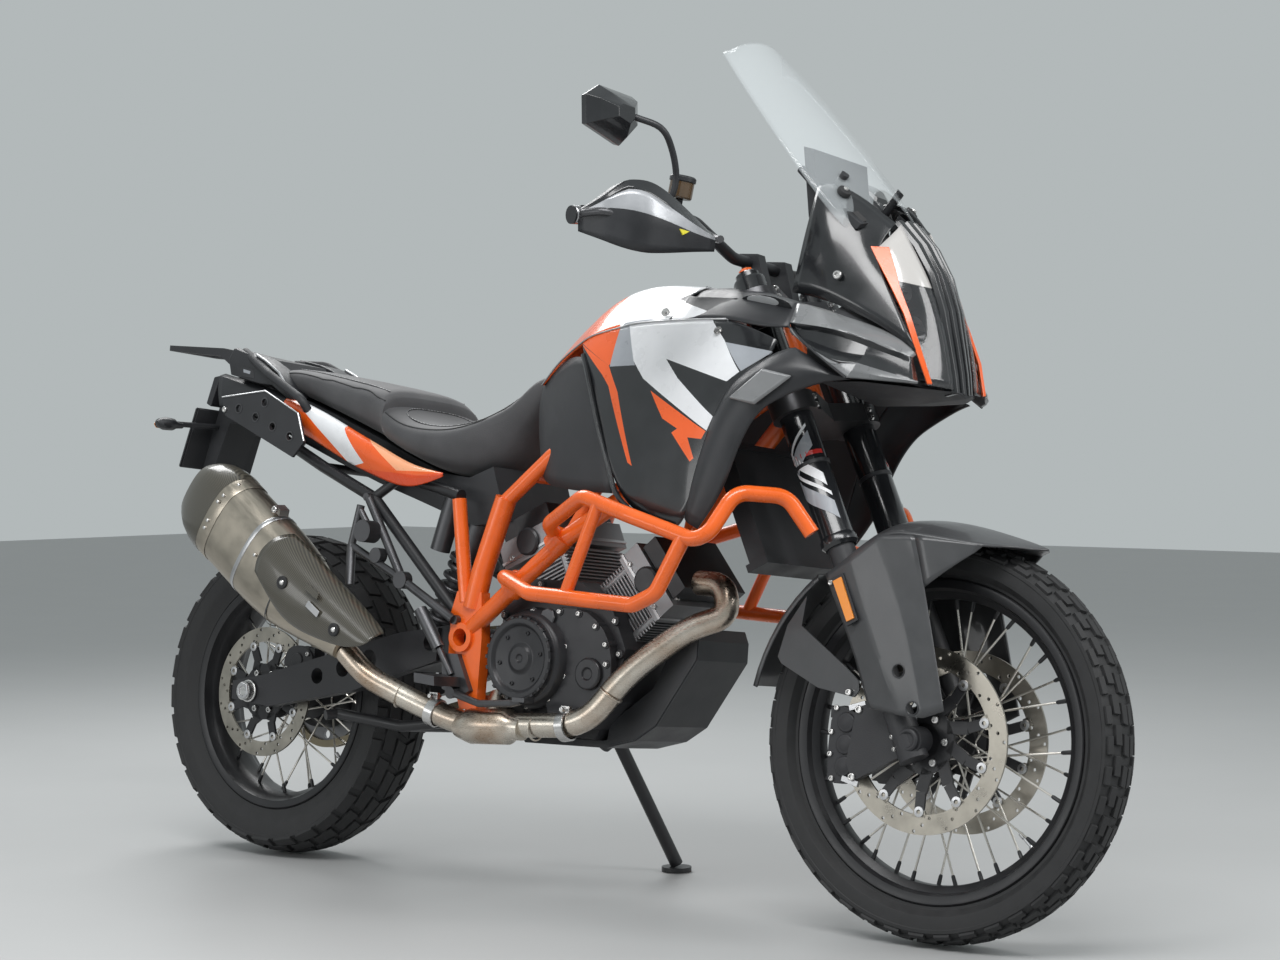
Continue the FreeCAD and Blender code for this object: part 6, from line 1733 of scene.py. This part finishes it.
def controls():
    """Ribbed grips, switch blocks, levers and fluid cups."""
    along = (BAR_OUTER - BAR_INNER).normalized()
    parts = Shape()
    grip = [(11.5, 0), (19, 0), (20, 3), (19, 5)]
    h = 8.0
    while h < 118:
        grip += [(16.6, h), (16.6, h + 3.2), (15.6, h + 3.8), (15.6, h + 5.4)]
        h += 6.0
    grip += [(17.5, 120), (17.5, 124), (11.5, 124)]
    parts.lathe(grip, bar_at(-351), along, "rubber", 32)
    switch = bar_at(-324)
    turn = along.to_track_quat("Y", "Z").to_matrix()
    parts.block(switch, (38, 46, 34), "satin_black", turn)
    parts.block(switch + V((-20, 4, 4)), (8, 16, 10), "red_band", turn)
    parts.block(switch + V((-19, -10, -8)), (7, 10, 8), "grey_panel", turn)
    perch = bar_at(-280)
    parts.lathe([(11, -18), (18, -18), (18, 18), (11, 18)], perch, along, "satin_black", 28,
                closed=True)
    pivot = bar_at(-275) + V((36, 0, -4))
    parts.tube([bar_at(-278) + V((10, 0, 0)), pivot + V((6, 0, 0))], [13, 10], "satin_black", 16)
    end = bar_at(-455) + V((48, 0, -10))
    parts.tube(spline([pivot, pivot + V((10, -24, -5)), pivot + V((6, -60, -6)),
                       pivot + (end - pivot) * 0.65, end], 5), [7.5] * 6 + [6] * 14 + [7.5],
               "dark_alu", 12)
    parts.lathe([(0, -9), (8, -9), (8, 9), (0, 9)], pivot, (0, 0, 1), "steel", 18)
    stalk = bar_at(-268) + V((4, 0, 12))
    cup = stalk + V((6, -4, 24))
    parts.tube([stalk, cup], 7, "satin_black", 12)
    up = V((0.15, 0, 1)).normalized()
    parts.lathe([(0, 0), (20, 0), (22, 3), (22, 30)], cup, up, "cup", 32)
    parts.lathe([(22, 30), (24, 31), (24, 38), (21, 41), (0, 41)], cup, up, "satin_black", 32)
    place("bar_parts", parts.both_sides(), "steering", "bar_controls", bevel=1.2)


def bar_mirrors():
    parts = Shape()
    parts.tube(spline([bar_at(-312) + V((4, 0, 18)), (1140, -312, 1262), (1150, -314, 1300),
                       (1154, -340, 1346), (1150, -370, 1374), (1112, -396, 1390)], 5), 6,
               "satin_black", 14)
    parts.lathe([(0, -14), (12, -12), (14, -6), (14, 6), (8, 18), (6, 26)],
                bar_at(-312) + V((4, 0, 18)), (0.2, 0, 1), "satin_black", 20)
    rings = []
    for x, half_y, half_z in ((1120, 24, 15), (1102, 56, 34), (1080, 69, 47), (1068, 66, 44)):
        outline = [(-half_y, half_z * 0.5), (-half_y * 0.5, half_z), (half_y * 0.9, half_z),
                   (half_y, -half_z * 0.2), (half_y * 0.5, -half_z), (-half_y * 0.9, -half_z * 0.6)]
        rings.append([V((x, -428 + y, 1388 + z)) for y, z in outline])
    parts.loft(rings, "gloss_black")
    outline = [(-61, 19), (-31, 39), (55, 39), (61, -8), (30, -39), (-54, -23)]
    parts.loft([[V((x, -428 + y, 1388 + z)) for y, z in outline] for x in (1068.6, 1066.6)],
               "mirror")
    place("mirror_heads", parts.both_sides(), "steering", "mirrors", bevel=2,
          sharp=24)


# Camera, light and floor

def stage():
    """Pale floor, plain world and four soft lamps."""
    size = 14.0
    mesh = bpy.data.meshes.new("floor")
    mesh.from_pydata([(-size, -size, 0), (size, -size, 0), (size, size, 0), (-size, size, 0)],
                     [], [(0, 1, 2, 3)])
    floor = bpy.data.objects.new("floor", mesh)
    bpy.context.scene.collection.objects.link(floor)
    floor.location.z = CAD_BOX[0].z - 0.0005
    mat, tree, shader = principled("floor_paint")
    soft = noise(tree, upright_coordinates(tree), 3.0)
    tree.links.new(blended(tree, soft, (0.46, 0.465, 0.465), (0.49, 0.495, 0.495)),
                   shader.inputs["Base Color"])
    shader.inputs["Roughness"].default_value = 0.45
    floor.data.materials.append(mat)

    world = bpy.data.worlds.new("studio")
    bpy.context.scene.world = world
    world.use_nodes = True
    tree = world.node_tree
    back = tree.nodes["Background"]
    path = tree.nodes.new("ShaderNodeLightPath")
    seen = tree.nodes.new("ShaderNodeMath")
    seen.operation = "MAXIMUM"
    tree.links.new(path.outputs["Is Camera Ray"], seen.inputs[0])
    tree.links.new(path.outputs["Is Transmission Ray"], seen.inputs[1])
    shown = tree.nodes.new("ShaderNodeMath")
    shown.operation = "MAXIMUM"
    tree.links.new(seen.outputs[0], shown.inputs[0])
    tree.links.new(path.outputs["Is Glossy Ray"], shown.inputs[1])
    strength = tree.nodes.new("ShaderNodeMapRange")
    strength.inputs["To Min"].default_value = 0.38
    strength.inputs["To Max"].default_value = 0.50
    tree.links.new(shown.outputs[0], strength.inputs["Value"])
    back.inputs["Color"].default_value = (0.90, 0.97, 0.98, 1)
    tree.links.new(strength.outputs["Result"], back.inputs["Strength"])

    for name, where, size, watts in (("key", (1.4, -2.2, 3.8), (3.4, 1.2), 120),
                                     ("fill", (3.8, 0.6, 2.6), (1.0, 2.6), 50),
                                     ("back", (-2.4, 1.2, 3.4), (2.6, 1.4), 85),
                                     ("low", (-1.4, -4.0, 1.2), (3.0, 0.8), 22)):
        lamp = bpy.data.lights.new(name, "AREA")
        lamp.shape = "RECTANGLE"
        lamp.size, lamp.size_y = size
        lamp.energy = watts
        obj = bpy.data.objects.new(name, lamp)
        bpy.context.scene.collection.objects.link(obj)
        obj.location = where
        obj.rotation_euler = (V((0.1, 0, 0.6)) - V(where)).to_track_quat("-Z", "Y").to_euler()


def camera():
    """The photograph's viewpoint, from the tyres and discs; all lengths are in its pixels."""
    focal, width, middle, horizon, sensor = 2550, 1280, 480, 435.1, 36
    yaw, pitch = math.radians(37.98), math.atan((middle - horizon) / focal)
    data = bpy.data.cameras.new("camera")
    data.lens = focal / width * sensor
    data.clip_end = 60
    obj = bpy.data.objects.new("camera", data)
    bpy.context.scene.collection.objects.link(obj)
    obj.location = V((3.868, -3.749, 0.874)) + SHIFT
    ahead = V((-math.sin(yaw) * math.cos(pitch), math.cos(yaw) * math.cos(pitch),
               -math.sin(pitch)))
    obj.rotation_euler = ahead.to_track_quat("-Z", "Y").to_euler()
    bpy.context.scene.camera = obj
    bpy.context.scene.view_settings.view_transform = "Standard"


dress_nodes()
wheels()
tank()
pods()
knees()
spears()
wings()
nose()
headlight()
screen()
seats()
tail()
silencer()
headers()
engine()
fork()
fender()
calipers()
guards()
controls()
bar_mirrors()
stage()
camera()
